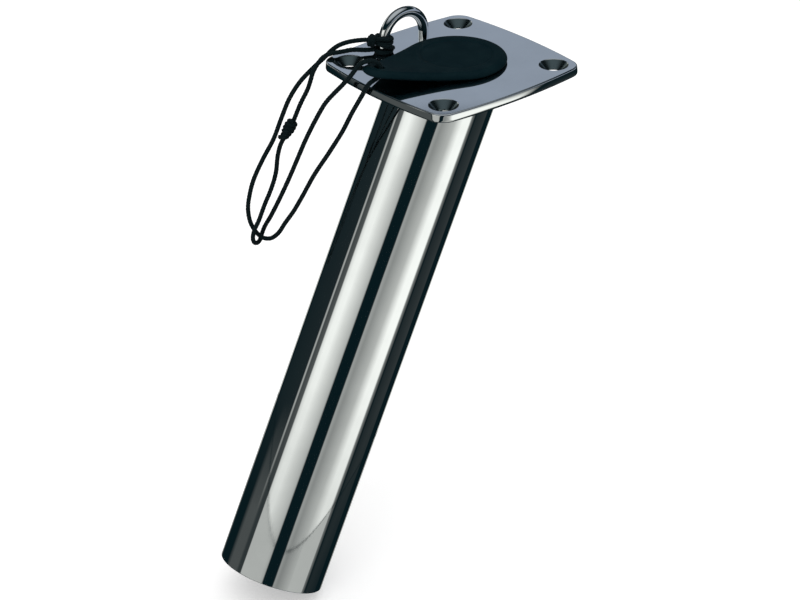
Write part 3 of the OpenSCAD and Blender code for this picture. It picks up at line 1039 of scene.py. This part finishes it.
@dataclass(frozen=True)
class Flange:
    """The bow-sided plate with its countersunk holes and the slanted mouth. Sizes in millimetres."""

    width: float = 91.0
    thick: float = 4.0
    side_bow: float = 1.6
    bow_half: float = 30.0
    corner_r: float = 8.5
    # inset and height up the side, then the rounding of the top edge: its reach, radius and first angle
    side: Pairs = ((0.7, 0.0), (0.25, 0.2), (0.0, 0.65), (0.04, 1.4), (0.10, 2.1), (0.18, 2.8))
    edge_r: float = 1.0
    round_r: float = 0.75
    round_from: float = 0.2
    pitch: float = 66.0
    screw_r: float = 3.3
    land: float = 0.5
    sink_r: float = 6.8
    bore_r: float = 20.5
    # the openings' edges are eased, and these lie nearer the middle than this
    eased: float = 0.22
    eased_within: float = 41.5

    def outline(self, inset: float) -> np.ndarray:
        """Returns the plate's outline, inset evenly, as points in the plane."""
        side_r = self.bow_half**2 / (2 * self.side_bow)
        side_c = self.width / 2 - side_r
        reach = side_r - self.corner_r
        corner_c = (side_c + math.sqrt(side_c**2 - 2 * (side_c**2 - reach**2))) / 2
        meet = math.atan2(corner_c, corner_c - side_c)
        corner = np.linspace(meet, math.pi / 2 - meet, 25)[1:-1]
        quarter = arc(side_c, 0.0, side_r - inset, np.linspace(-meet, meet, 41))
        quarter += arc(corner_c, corner_c, self.corner_r - inset, corner)
        points: list[tuple[float, float]] = []
        for _ in range(4):
            points += quarter
            quarter = [(-y, x) for x, y in quarter]
        return np.array(points)

    def build(self, steel: Material) -> Piece:
        """Makes the plate.

        Args:
            steel: Its material.

        Returns:
            The piece.
        """
        turn = self.round_r
        layers = list(self.side)
        for a in np.linspace(self.round_from, math.pi / 2, 8):
            layers.append((self.edge_r - turn * math.cos(a), self.thick - turn + turn * math.sin(a)))
        rings = []
        for inset, z in layers:
            flat = self.outline(inset)
            rings.append(np.column_stack([flat, np.full(len(flat), z)]))
        plate = stacked_rings("deck_flange", rings)
        sink = [(self.screw_r, -2.0), (self.screw_r, self.land), (self.sink_r, self.thick)]
        sink.append((self.sink_r + 1, self.thick + 1))
        half = self.pitch / 2
        for x, y in ((-half, -half), (half, -half), (half, half), (-half, half)):
            carve(plate, turned_block("sink", sink, 96, self.upright(x, y)), Cut.TAKE_AWAY)
        eye = EyeStaple()
        for side in (-1, 1):
            place = self.upright(eye.x + side * eye.span / 2, eye.y)
            carve(plate, turned_block("leg", [(eye.rod_r, -2), (eye.rod_r, 6)], 64, place), Cut.TAKE_AWAY)
        carve(plate, SocketAxis().bar("mouth", self.bore_r, -20, 30), Cut.TAKE_AWAY)
        top = lambda p: p.z > self.thick - 0.01 and max(abs(p.x), abs(p.y)) < self.eased_within
        ease_edges(plate, top, self.eased)
        smooth_normals(plate)
        dressed(plate, steel, PolishedSteel.slot)
        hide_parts("flange")
        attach(plate, Body.HOLDER.value)
        return plate

    @staticmethod
    def upright(x: float, y: float) -> Placing:
        """Returns a placing function for solids turned round an upright axis."""
        return lambda r, h, a: np.array([x + r * math.cos(a), y + r * math.sin(a), h])


@dataclass(frozen=True)
class EyeStaple:
    """The bent rod welded into the flange. Sizes in millimetres."""

    rod_r: float = 2.5
    span: float = 24.0
    leg: float = 4.5
    x: float = -3.0
    y: float = 30.0
    base_z: float = 4.0

    def line(self) -> np.ndarray:
        """Returns the rod's middle line."""
        half, shoulder = self.span / 2, self.base_z + self.leg
        rise = [(self.x - half, self.y, z) for z in np.linspace(-1, shoulder, 8)[:-1]]
        bends = np.linspace(0, math.pi, 97)
        arch = [(self.x - half * math.cos(a), self.y, shoulder + half * math.sin(a)) for a in bends]
        fall = [(self.x + half, self.y, z) for z in np.linspace(shoulder, -1, 8)[1:]]
        return np.array(rise + arch + fall)

    def build(self, steel: Material) -> Piece:
        """Makes the eye.

        Args:
            steel: Its material.

        Returns:
            The piece.
        """
        line = self.line()
        way = np.gradient(line, axis=0)
        way /= np.linalg.norm(way, axis=1)[:, None]
        level = np.array([0.0, 1.0, 0.0])
        turns = np.linspace(0, 2 * math.pi, 48, endpoint=False)
        rings = [
            p + self.rod_r * (np.outer(np.cos(turns), level) + np.outer(np.sin(turns), np.cross(w, level)))
            for p, w in zip(line, way)
        ]
        eye = stacked_rings("eye_rod", rings)
        smooth_normals(eye, 50)
        dressed(eye, steel, PolishedSteel.slot)
        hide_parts("eye_staple")
        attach(eye, Body.HOLDER.value)
        return eye


@dataclass(frozen=True)
class SocketTube:
    """The polished tube, mitred under the flange and eased at its foot. Sizes in millimetres."""

    outer_r: float = 25.0
    wall: float = 1.5
    length: float = 256.0
    lip: float = 0.4
    steps: int = 256
    stations: tuple[float, ...] = (60, 120, 180, 240)

    def build(self, steel: Material) -> Piece:
        """Makes the tube.

        Args:
            steel: Its material.

        Returns:
            The piece.
        """
        axis, inner_r = SocketAxis(), self.outer_r - self.wall
        turns = [2 * math.pi * i / self.steps for i in range(self.steps)]
        mitred = lambda r: np.array([axis.point(r, axis.depth_at(r, a, 0.0), a) for a in turns])
        ring = lambda r, s: np.array([axis.point(r, s, a) for a in turns])
        bends = np.linspace(0, math.pi / 2, 5)
        lips = [(self.lip * (1 - math.cos(b)), self.length - self.lip * (1 - math.sin(b))) for b in bends]
        rings = [mitred(self.outer_r)] + [ring(self.outer_r, s) for s in self.stations]
        rings += [ring(self.outer_r - inset, s) for inset, s in lips]
        rings += [ring(inner_r + inset, s) for inset, s in lips[::-1]]
        rings += [ring(inner_r, s) for s in self.stations[::-1]] + [mitred(inner_r)]
        tube = stacked_rings("socket_tube", rings, looped=True)
        smooth_normals(tube)
        dressed(tube, steel, PolishedSteel.slot)
        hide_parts("tube")
        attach(tube, Body.HOLDER.value)
        return tube


@dataclass(frozen=True)
class WeldBeads:
    """The rippled beads under the flange, as a Geometry Nodes tree. Sizes in millimetres."""

    tube_leg: float = 2.6
    eye_leg: float = 1.2
    ripple: float = 0.07
    ripple_skew: float = 1.6
    ripple_points: int = 6
    tube_ripples: float = 1.7
    eye_ripples: float = 1.1
    sides: int = 20

    def tree(self) -> Tree:
        """Builds the tree once.

        Returns:
            A geometry tree whose loop becomes a rippled bead.
        """
        found = bpy.data.node_groups.get("weld_bead")
        if found:
            return found
        tree, given, result = new_group(
            "weld_bead",
            "GeometryNodeTree",
            (
                ("Geometry", "INPUT", "NodeSocketGeometry", None),
                ("Bead Radius", "INPUT", "NodeSocketFloat", self.tube_leg * MM),
                ("Ripple", "INPUT", "NodeSocketFloat", self.ripple),
                ("Ripple Pitch", "INPUT", "NodeSocketFloat", 1.6 * MM),
                ("Metal", "INPUT", "NodeSocketMaterial", None),
                ("Geometry", "OUTPUT", "NodeSocketGeometry", None),
            ),
        )
        g = Graph(tree)
        size = given.outputs
        step = g.over(size["Ripple Pitch"], float(self.ripple_points))
        line = g.add("GeometryNodeSetCurveNormal", {"Curve": size["Geometry"]}, mode="Z_UP").outputs[0]
        line = g.resampled(line, step)
        travel = g.add("GeometryNodeSplineParameter").outputs["Length"]
        wave = g.math("FRACT", g.over(travel, size["Ripple Pitch"]))
        skewed = g.times(g.math("POWER", wave, self.ripple_skew), math.pi)
        swell = g.times(g.math("SINE", skewed), size["Ripple"])
        scale = g.plus(g.minus(1.0, size["Ripple"]), swell)
        skin = g.skinned(line, self.sides, size["Bead Radius"], {"Scale": scale})
        g.finished(skin, size["Metal"], result)
        return tree

    def bead(self, name: str, loop: np.ndarray, radius: float, pitch: float, metal: Material) -> Piece:
        """Returns one whole bead along a loop."""
        values = {"Bead Radius": radius * MM, "Ripple Pitch": pitch * MM, "Metal": metal}
        obj = run_along(name, loop, self.tree(), values, True)
        with reshaped(obj.data) as shell:
            bmesh.ops.recalc_face_normals(shell, faces=shell.faces)
        return obj

    def trimmed(self, bead: Piece, core: Piece) -> None:
        """Keeps what lies under the flange and outside the core."""
        carve(bead, slab("over", 0.0, 20.0), Cut.TAKE_AWAY)
        carve(bead, core, Cut.TAKE_AWAY)

    def build(self, weld: WeldSteel) -> list[Piece]:
        """Makes the tube's bead and the eye's two.

        Args:
            weld: The beads' finish.

        Returns:
            The two pieces.
        """
        metal, axis, eye = weld.material(), SocketAxis(), EyeStaple()
        turns = np.linspace(0, 2 * math.pi, 180, endpoint=False)
        tube_r = SocketTube().outer_r
        loop = np.array([axis.point(tube_r, axis.depth_at(tube_r, a, 0.0), a) for a in turns])
        seam = self.bead("tube_bead", loop, self.tube_leg, self.tube_ripples, metal)
        self.trimmed(seam, axis.bar("core", tube_r, -20, 60))
        rings = []
        for side in (-1, 1):
            x = eye.x + side * eye.span / 2
            loop = np.array([(*point, 0.0) for point in arc(x, eye.y, eye.rod_r, turns[::3])])
            ring = self.bead("eye_beads", loop, self.eye_leg, self.eye_ripples, metal)
            core = turned_block("core", [(eye.rod_r, -6), (eye.rod_r, 6)], 64, Flange.upright(x, eye.y))
            self.trimmed(ring, core)
            rings.append(ring)
        joined = bmesh.new()
        for ring in rings:
            joined.from_mesh(ring.data)
        joined.to_mesh(rings[0].data)
        joined.free()
        bpy.data.objects.remove(rings[1])
        rings[0].name = "eye_beads"
        for piece, node in ((seam, "tube_weld"), (rings[0], "eye_welds")):
            smooth_normals(piece, 40)
            dressed(piece, metal, weld.slot)
            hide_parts(node)
            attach(piece, Body.HOLDER.value)
        return [seam, rings[0]]


# ---------------------------------------------------------------- cap


@dataclass(frozen=True)
class PlugCap:
    """The moulded cap: a teardrop lid whose tail lifts, over a ribbed skirt. Sizes in millimetres."""

    lid_r: float = 24.0
    tail_r: float = 7.5
    reach: float = 41.5
    turn: float = math.radians(5.0)
    thick: float = 3.4
    lid_x: float = 2.2
    lid_z: float = 4.2
    lift: float = 0.0024
    lift_from: float = 1.4
    dish_r: float = 17.0
    dish_deep: float = 0.35
    dish_out: float = 0.25
    dish_slope: float = 1.1
    hole_r: float = 2.5
    dish_x: float = 1.0
    # the lid's edge, from below to above: inset and height
    edge: Pairs = ((0.9, 0), (0.1, 0.7), (0, 1.3), (0.5, 2.2), (1.5, 2.95), (2.8, 3.4))
    # the skirt below the lid: radius and depth down the socket, rib by rib
    skirt_r: float = 19.8
    skirt_top: float = -14.0
    ribs: tuple[float, ...] = (6.0, 12.0, 18.0)
    rib: Pairs = (
        (19.8, -0.7), (20.0, -0.5), (20.18, -0.2), (20.2, 0.1), (20.14, 0.5), (19.95, 1.0), (19.8, 1.4),
    )
    skirt_foot: Pairs = ((19.8, 22.2), (19.55, 22.75), (18.3, 23.85), (18.0, 24.0))
    hollow: Pairs = ((17.7, 24.0), (17.4, 23.7), (17.4, 12.6), (16.8, 12.0), (0.02, 12.0))
    meet_z: float = 5.6

    def outline(self, inset: float) -> tuple[np.ndarray, np.ndarray]:
        """Gives the lid's outline in its own frame.

        Args:
            inset: Distance in from the widest outline.

        Returns:
            The points, and the place on the spine that each one belongs to.
        """
        meet = math.acos(-(self.lid_r - self.tail_r) / self.reach)
        r1, r2 = self.lid_r - inset, self.tail_r - inset
        round_part = [(x, y, 0.0) for x, y in arc(0.0, 0.0, r1, np.linspace(0, meet, 60))]
        flank = []
        for t in np.linspace(0, 1, 44)[1:-1]:
            x = (1 - t) * r1 * math.cos(meet) + t * (r2 * math.cos(meet) - self.reach)
            flank.append((x, ((1 - t) * r1 + t * r2) * math.sin(meet), -t * self.reach))
        tail = [(x, y, -self.reach) for x, y in arc(-self.reach, 0.0, r2, np.linspace(meet, math.pi, 24))]
        upper = np.array(round_part + flank + tail)
        lower = upper[-2:0:-1] * np.array([1, -1, 1])
        whole = np.vstack([upper, lower])
        return whole[:, :2], whole[:, 2]

    def placed(self, points: np.ndarray) -> np.ndarray:
        """Returns points of the lid's frame in the row frame."""
        c, s = math.cos(-self.turn), math.sin(-self.turn)
        x, y, z = points.T
        return np.column_stack([self.lid_x + c * x - s * y, s * x + c * y, self.lid_z + z])

    def rise(self, x: np.ndarray) -> np.ndarray:
        """Returns how far the soft lid stands up at x in its own frame."""
        return self.lift * np.minimum(x - self.lift_from, 0) ** 2

    def top(self, flat: np.ndarray) -> np.ndarray:
        """Returns the lid's upper surface over points of its frame, dish included."""
        over = self.thick + self.rise(flat[:, 0])
        away = np.hypot(flat[:, 0] - self.dish_x, flat[:, 1])
        share = np.clip((self.dish_r + self.dish_out - away) / self.dish_slope, 0, 1)
        share = share * share * (3 - 2 * share)
        return over * (1 - share) + (self.thick - self.dish_deep) * share

    def lid(self) -> Piece:
        """Makes the closed lid without its hole.

        Returns:
            The lid.
        """
        profile = smooth_line(np.array([(i, 0.0, z) for i, z in self.edge], float), 0.22)[:, [0, 2]]
        rings = []
        inner, spine = self.outline(self.edge[0][0])
        middle = np.column_stack([spine, np.zeros(len(spine))])
        for t in (1.0, 0.5):
            flat = (1 - t) * inner + t * middle
            rings.append(np.column_stack([flat, self.rise(flat[:, 0])]))
        for inset, z in profile:
            flat, _ = self.outline(inset)
            rings.append(np.column_stack([flat, z + self.rise(flat[:, 0])]))
        inner, _ = self.outline(self.edge[-1][0])
        for t in np.linspace(0, 1, 72)[1:]:
            flat = (1 - t) * inner + t * middle
            rings.append(np.column_stack([flat, self.top(flat)]))
        return stacked_rings("plug_cap_skin", [self.placed(r) for r in rings], capped=False)

    def skirt(self) -> Piece:
        """Makes the ribbed hollow skirt on the socket's axis.

        Returns:
            The skirt, its top inside the lid.
        """
        profile = [(self.hollow[-1][0], self.skirt_top), (self.skirt_r, self.skirt_top)]
        for depth in self.ribs:
            profile += [(radius, depth + down) for radius, down in self.rib]
        profile += [*self.skirt_foot, *self.hollow]
        skirt = turned_block("skirt", profile, 160, SocketAxis().point)
        carve(skirt, slab("below", -80.0, self.meet_z), Cut.KEEP_WITHIN)
        return skirt

    def build(self, rubber: MouldedSkin) -> Piece:
        """Makes the cap.

        Args:
            rubber: Its finish.

        Returns:
            The piece.
        """
        cap = self.lid()
        carve(cap, self.skirt(), Cut.ADD)
        x, y, _ = self.placed(np.array([[-self.reach, 0.0, 0.0]]))[0]
        hole = turned_block("hole", [(self.hole_r, 0.0), (self.hole_r, 30.0)], 48, Flange.upright(x, y))
        carve(cap, hole, Cut.TAKE_AWAY)
        ease_edges(cap, lambda p: math.hypot(p.x - x, p.y - y) < self.hole_r + 0.05, 0.45)
        smooth_normals(cap, 50)
        dressed(cap, rubber.material(), rubber.slot)
        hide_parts("plug_cap")
        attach(cap, Body.PLUG.value)
        return cap


# ---------------------------------------------------------------- studio


@dataclass(frozen=True)
class SoftBox:
    """A soft box that stands along the tube, by degrees round its axis, and its tone at either edge."""

    start: float
    end: float
    first: float
    last: float


@dataclass(frozen=True)
class Studio:
    """A pale floor, plain soft light, and the soft boxes and dark flags that the steel mirrors.

    The mirrored light is set by direction. Fades named "turn" go by the place round the tube's axis, 0 to 1
    for -180 to 180 degrees, and the others by a part of the direction, named in their comments.
    """

    floor_z: float = -0.2360
    floor_half: float = 6.0
    floor_tone: float = 0.88
    floor_glow: float = 0.36
    level: float = 0.80
    lamp_place: Triple = (-0.9, -0.9, 1.9)
    lamp_aim: Triple = (-0.03, 0.0, -0.1)
    lamp_size: float = 1.6
    lamp_power: float = 9.0
    boxes: tuple[SoftBox, ...] = (
        SoftBox(-180, -168, 0.93, 0.71), SoftBox(-168, -147, 0.71, 0.42), SoftBox(-121, -113, 0.34, 0.26),
        SoftBox(-113, -88, 0.26, 0.47), SoftBox(-88, -71, 0.47, 0.97), SoftBox(-71, -54, 0.97, 1.0),
        SoftBox(-51, -45, 0.20, 0.04), SoftBox(-40, -8, 0.012, 0.028), SoftBox(24, 34, 0.40, 0.80),
        SoftBox(34, 66, 0.80, 0.55), SoftBox(80, 142, 0.005, 0.009), SoftBox(144.3, 146.3, 0.38, 0.38),
        SoftBox(148, 159, 0.05, 0.08), SoftBox(161.5, 169, 0.72, 0.92), SoftBox(169, 180, 0.92, 0.93),
    )
    soft_edge: float = 1.5
    # the sheet beyond the foot veils the boxes: by the direction's part along the tube
    veil: Fade = Fade(-0.21, -0.285, 0.0, 0.5)
    veil_dims: float = 0.85
    veiled: float = 0.43
    # the sheet's near edge, a thin line, as a plane through the directions and the fades off it
    sheet: Triple = (-0.0193, -0.0237, 1.0)
    sheet_at: float = -0.2626
    sheet_past: tuple[float, float] = (0.0004, 0.0010)
    sheet_line: Fade = Fade(0.0003, 0.0010, 0.25, 1.0)
    # the dim floor that the foot mirrors at its left: along the tube, then by turn
    glow_along: Fade = Fade(-0.235, -0.28)
    glow_turn_from: Fade = Fade(0.6, 0.7)
    glow_turn_to: Fade = Fade(0.938, 0.944, 1.0, 0.0)
    glow_turn_rise: Fade = Fade(0.805, 0.84, 0.0, 0.065)
    glow_turn_fall: Fade = Fade(0.905, 0.92, 1.0, 0.4)
    # the box that lights the flange's near side: along the tube, then by turn
    rim_along: Fade = Fade(-0.075, -0.062)
    rim_turn_from: Fade = Fade(0.325, 0.335)
    rim_turn_to: Fade = Fade(0.370, 0.380, 0.95, 0.0)
    # the boxes end above, and one behind goes on: along the tube, then by turn
    above_along: Fade = Fade(0.02, 0.15, 1.0, 0.08)
    behind_along: Fade = Fade(0.02, 0.06, 0.0, 0.6)
    behind_turn_from: Fade = Fade(0.73, 0.76)
    behind_turn_to: Fade = Fade(0.84, 0.87, 1.0, 0.0)
    # by the direction's upright part: below, the horizon's haze, and above
    nadir: Fade = Fade(-0.92, -0.98)
    below: Fade = Fade(-0.62, -0.72)
    haze_up: Fade = Fade(0.345, 0.40)
    haze_tilt: float = 0.07
    beyond: Fade = Fade(0.9, 1.2)
    beyond_up: Fade = Fade(0.05, 0.15)
    sky_from: Fade = Fade(0.412, 0.422)
    sky: Fade = Fade(0.70, 0.90)
    bright: Colour = (1.09, 1.10, 1.04)
    haze: Colour = (0.29, 0.335, 0.405)
    dark: Colour = (0.003, 0.011, 0.014)
    zenith: Colour = (0.42, 0.45, 0.47)

    def ramp(self, g: Graph, place: Socket) -> Socket:
        """Returns the boxes' tone by angle, dark where there is no box.

        Args:
            g: The world's graph.
            place: 0 to 1 for -180 to 180 degrees.
        """
        stops: list[tuple[float, float]] = []
        for box, following in zip(self.boxes, (*self.boxes[1:], None)):
            stops += [(box.start, box.first), (box.end, box.last)]
            if following and following.start - box.end > 2 * self.soft_edge:
                stops += [(box.end + self.soft_edge, 0.0), (following.start - self.soft_edge, 0.0)]
        node = g.add("ShaderNodeValToRGB", {"Fac": place})
        marks = node.color_ramp.elements
        while len(marks) > 1:
            marks.remove(marks[-1])
        for number, (degrees, tone) in enumerate(dict.fromkeys(stops)):
            mark = marks[0] if number == 0 else marks.new((degrees + 180) / 360)
            mark.position = (degrees + 180) / 360
            mark.color = (tone, tone, tone, 1)
        return node.outputs[0]

    def mirrored(self, g: Graph) -> Socket:
        """Returns the colours that a mirror sees.

        Args:
            g: The world's graph.
        """
        way = g.add("ShaderNodeTexCoord").outputs["Generated"]
        leant = g.leant(way)
        part = g.split(leant)
        turn = g.math("ARCTAN2", part["Y"], part["X"])
        place = g.plus(g.over(turn, 2 * math.pi), 0.5)
        tone = self.foot_light(g, leant, part["Z"], place)
        rim = g.times(g.faded(place, self.rim_turn_from), g.faded(place, self.rim_turn_to))
        tone = g.larger(tone, g.times(rim, g.faded(part["Z"], self.rim_along)))
        tone = g.times(tone, g.faded(part["Z"], self.above_along))
        behind = g.times(g.faded(place, self.behind_turn_from), g.faded(place, self.behind_turn_to))
        tone = g.larger(tone, g.times(behind, g.faded(part["Z"], self.behind_along)))
        return self.with_horizon(g, way, g.mixed(tone, self.dark, self.bright))

    def foot_light(self, g: Graph, leant: Socket, along: Socket, place: Socket) -> Socket:
        """Returns the boxes' tone with the sheet's veil, its edge and the dim floor near the foot.

        Args:
            g: The world's graph.
            leant: The direction, turned so that its Z runs along the tube.
            along: Its Z.
            place: 0 to 1 for -180 to 180 degrees round the tube.
        """
        product = g.add("ShaderNodeVectorMath", {0: leant, 1: self.sheet}, operation="DOT_PRODUCT")
        product = product.outputs["Value"]
        first, last = (self.sheet_at - gap for gap in self.sheet_past)
        share = g.larger(g.faded(along, self.veil), g.faded(product, Fade(first, last)))
        tone = self.ramp(g, place)
        veiled = g.math("MINIMUM", g.times(tone, self.veil_dims), self.veiled)
        tone = g.towards(tone, veiled, share)
        beside = g.times(g.faded(place, self.glow_turn_from), g.faded(place, self.glow_turn_to))
        near_foot = g.times(g.faded(along, self.glow_along), beside)
        glow = g.times(g.faded(place, self.glow_turn_rise), g.faded(place, self.glow_turn_fall))
        tone = g.towards(tone, glow, near_foot)
        off = g.math("ABSOLUTE", g.minus(product, self.sheet_at))
        return g.times(tone, g.faded(off, self.sheet_line))

    def with_horizon(self, g: Graph, way: Socket, bands: Socket) -> Socket:
        """Returns the bands' colours with the light below, the horizon's haze and the light above.

        Args:
            g: The world's graph.
            way: The direction.
            bands: The colours along the tube.
        """
        part = g.split(way)
        raised = g.plus(part["Z"], g.times(part["X"], self.haze_tilt))
        under = g.mixed(g.faded(part["Z"], self.nadir), self.dark, self.zenith)
        low = g.mixed(g.faded(part["Z"], self.below), bands, under)
        beyond = g.faded(g.minus(part["X"], part["Y"]), self.beyond)
        share = g.larger(g.faded(raised, self.haze_up), g.times(beyond, g.faded(part["Z"], self.beyond_up)))
        hazed = g.mixed(share, low, self.haze)
        above = g.mixed(g.faded(part["Z"], self.sky), self.dark, self.zenith)
        return g.mixed(g.faded(part["Z"], self.sky_from), hazed, above)

    def world(self) -> None:
        """Builds the surroundings: white to the eye, even for soft light, boxes and flags for mirrors."""
        world = bpy.data.worlds.new("studio")
        bpy.context.scene.world = world
        g = bare_graph(world)
        path = g.add("ShaderNodeLightPath").outputs
        seen = g.larger(path["Is Camera Ray"], path["Is Transmission Ray"])
        light = lambda colour, strength: g.add(
            "ShaderNodeBackground", {"Color": colour, "Strength": strength}
        ).outputs[0]
        even = light((1, 1, 1, 1), self.level)
        shine = light(self.mirrored(g), 1.0)
        white = light((1, 1, 1, 1), 1.0)
        glossy = g.add("ShaderNodeMixShader", {0: path["Is Glossy Ray"], 1: even, 2: shine}).outputs[0]
        whole = g.add("ShaderNodeMixShader", {0: seen, 1: glossy, 2: white})
        g.add("ShaderNodeOutputWorld", {"Surface": whole.outputs[0]})

    def floor(self) -> Piece:
        """Makes the floor, which keeps the object's shadow and can't be seen from below.

        Returns:
            The floor.
        """
        mesh = bpy.data.meshes.new("studio_floor")
        half = self.floor_half
        square = ((-half, -half), (half, -half), (half, half), (-half, half))
        mesh.from_pydata([(x, y, self.floor_z) for x, y in square], [], [(0, 1, 2, 3)])
        floor = linked("studio_floor", mesh)
        material = bpy.data.materials.new("studio_floor")
        g = bare_graph(material)
        camera = g.add("ShaderNodeLightPath").outputs["Is Camera Ray"]
        pale = g.add("ShaderNodeBsdfDiffuse", {"Color": (*(self.floor_tone,) * 3, 1)}).outputs[0]
        glow = g.add("ShaderNodeEmission", {"Strength": g.times(camera, self.floor_glow)}).outputs[0]
        lit = g.add("ShaderNodeAddShader", {0: pale, 1: glow}).outputs[0]
        clear = g.add("ShaderNodeBsdfTransparent").outputs[0]
        facing = g.add("ShaderNodeNewGeometry").outputs["Backfacing"]
        whole = g.add("ShaderNodeMixShader", {0: facing, 1: lit, 2: clear})
        g.add("ShaderNodeOutputMaterial", {"Surface": whole.outputs[0]})
        mesh.materials.append(material)
        floor.visible_glossy = False
        return floor

    def lamp(self) -> Piece:
        """Makes the one large soft lamp.

        Returns:
            The lamp.
        """
        data = bpy.data.lights.new("soft_key", "AREA")
        data.shape, data.size, data.energy = "DISK", self.lamp_size, self.lamp_power
        lamp = linked("soft_key", data)
        place = Vector(self.lamp_place)
        lamp.location = place
        lamp.rotation_euler = (place - Vector(self.lamp_aim)).to_track_quat("Z", "Y").to_euler()
        lamp.visible_glossy = False
        return lamp

    def build(self) -> None:
        """Sets the plain view transform, then builds the world, the floor and the lamp."""
        bpy.context.scene.view_settings.view_transform = "Standard"
        self.world()
        self.floor()
        self.lamp()


# ---------------------------------------------------------------- image points


@dataclass(frozen=True)
class PointReport:
    """Compares what shows with the photograph's named points."""

    view: Viewpoint
    # which corners of a piece count, in millimetres: round a hole, and above a height
    sink_reach: float = 7.0
    plate_top: float = 3.99
    hole_reach: float = 2.6
    tail_above: float = 10.5
    lid_above: float = 4.1
    foot_high: float = 0.6

    def spread(self, obj: Piece, keep: Callable[[np.ndarray], np.ndarray] | None = None) -> np.ndarray:
        """Returns the pixels of a piece's corners, or of those that keep passes, in millimetres."""
        corners = np.array([obj.matrix_world @ v.co for v in obj.data.vertices])
        if keep is not None:
            corners = corners[keep(corners / MM)]
        return self.view.pixels(corners)

    def rim(self, obj: Piece, x: float, y: float, radius: float, low: float) -> tuple[float, float]:
        """Returns the middle pixel of a round rim at x, y, above low millimetres."""
        near = lambda p: np.hypot(p[:, 0] - x, p[:, 1] - y) < radius + 0.3
        seen = self.spread(obj, lambda p: near(p) & (p[:, 2] > low))
        middle = (seen.min(axis=0) + seen.max(axis=0)) / 2
        return float(middle[0]), float(middle[1])

    def shown(self, flange: Piece, eye: Piece, tube: Piece, cap: Piece) -> dict[str, tuple[float, float]]:
        """Measures each named point on the finished pieces.

        Args:
            flange: The plate.
            eye: The eye's rod.
            tube: The tube.
            cap: The cap.

        Returns:
            The pixel at which each thing shows.
        """
        whole = np.vstack([self.spread(o) for o in (flange, eye, tube, cap)])
        plate, rod = self.spread(flange), self.spread(eye)
        half, shape = Flange().pitch / 2, PlugCap()
        hole = shape.placed(np.array([[-shape.reach, 0.0, 0.0]]))[0]
        dish = shape.placed(np.array([[shape.dish_x, 0.0, shape.thick - shape.dish_deep]]))[0]
        lid = self.spread(cap, lambda p: p[:, 2] > self.lid_above)
        axis = SocketAxis()
        end = np.array(axis.point(0.0, SocketTube().length - self.foot_high, 0.0))
        down = end - axis.point(0.0, 0.0, 0.0)
        foot = self.spread(tube, lambda p: (p - end) @ down > 0)
        return {
            "object_left": (whole[:, 0].min(), 0.0),
            "object_right": (whole[:, 0].max(), 0.0),
            "object_top": (0.0, whole[:, 1].min()),
            "object_bottom": (0.0, whole[:, 1].max()),
            "front_screw_hole": self.rim(flange, -half, -half, self.sink_reach, self.plate_top),
            "right_screw_hole": self.rim(flange, half, -half, self.sink_reach, self.plate_top),
            "back_screw_hole": self.rim(flange, half, half, self.sink_reach, self.plate_top),
            "flange_left_end": (plate[:, 0].min(), 0.0),
            "flange_back_end": (0.0, plate[:, 1].min()),
            "eye_left_side": (rod[:, 0].min(), 0.0),
            "eye_right_side": (rod[:, 0].max(), 0.0),
            "lid_right_end": (lid[:, 0].max(), 0.0),
            "lid_tail_end": (lid[:, 0].min(), 0.0),
            "cord_hole": self.rim(cap, hole[0], hole[1], self.hole_reach, self.tail_above),
            "lid_dish": tuple(self.view.pixels(np.array([dish]) * MM)[0]),
            "tube_lower_left": tuple(foot[foot[:, 0].argmin()]),
            "tube_lower_right": tuple(foot[foot[:, 0].argmax()]),
        }

    def write(self, flange: Piece, eye: Piece, tube: Piece, cap: Piece) -> None:
        shown = self.shown(flange, eye, tube, cap)
        off = lambda got, want: None if want is None else round(float(got - want), 1)
        table = {
            name: [off(got, want) for got, want in zip(shown[name], point)]
            for name, point in IMAGE_POINTS.items()
        }
        met = self.view.surface_point(IMAGE_POINTS["lid_dish"], cap)
        table["lid_dish_on_lid_mm"] = [round(v / MM, 1) for v in met]
        log.info("image points: %s", table)


def dress_hidden_nodes(nodes: dict[str, Piece], steel: Material, weld: WeldSteel, vinyl: MouldedSkin) -> None:
    """Gives the CAD nodes inside the socket their finishes.

    Args:
        nodes: The frame's nodes.
        steel: The polished steel.
        weld: The weld finish.
        vinyl: The liner's finish.
    """
    dressed(nodes["rod_liner"], vinyl.material(), vinyl.slot)
    dressed(nodes["gimbal_pin"], steel, PolishedSteel.slot)
    dressed(nodes["pin_welds"], weld.material(), weld.slot)


def main() -> None:
    """Builds the rod holder in order and reports each piece."""
    logging.basicConfig(level=logging.INFO, format="%(name)s: %(message)s")
    view = Viewpoint()
    view.build()
    yarn, steel, weld = BraidYarn(), PolishedSteel(), WeldSteel()
    black, bloom = (0.001, 0.010, 0.014), (0.003, 0.014, 0.018)
    rubber = MouldedSkin("cap_rubber", "cap_rubber", black, bloom, (0.38, 0.52))
    dark, worn = (0.016, 0.017, 0.018), (0.026, 0.027, 0.028)
    vinyl = MouldedSkin("liner_vinyl", "liner_plastic", dark, worn, (0.42, 0.58))
    for piece in Lanyard().build(yarn):
        log.info("%s: %d faces", piece.name, len(piece.data.polygons))
    plain, drawn = steel.material(), steel.material("buffed_tube_steel", leaning=True)
    flange = Flange().build(steel.material("flange_steel", sunk=True))
    eye = EyeStaple().build(plain)
    tube = SocketTube().build(drawn)
    cap = PlugCap().build(rubber)
    beads = WeldBeads().build(weld)
    for piece in (flange, eye, tube, cap, *beads):
        log.info("%s: %d faces", piece.name, len(piece.data.polygons))
    dress_hidden_nodes(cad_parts, plain, weld, vinyl)
    Studio().build()
    bpy.context.view_layer.update()
    PointReport(view).write(flange, eye, tube, cap)


if __name__ == "__main__":
    main()
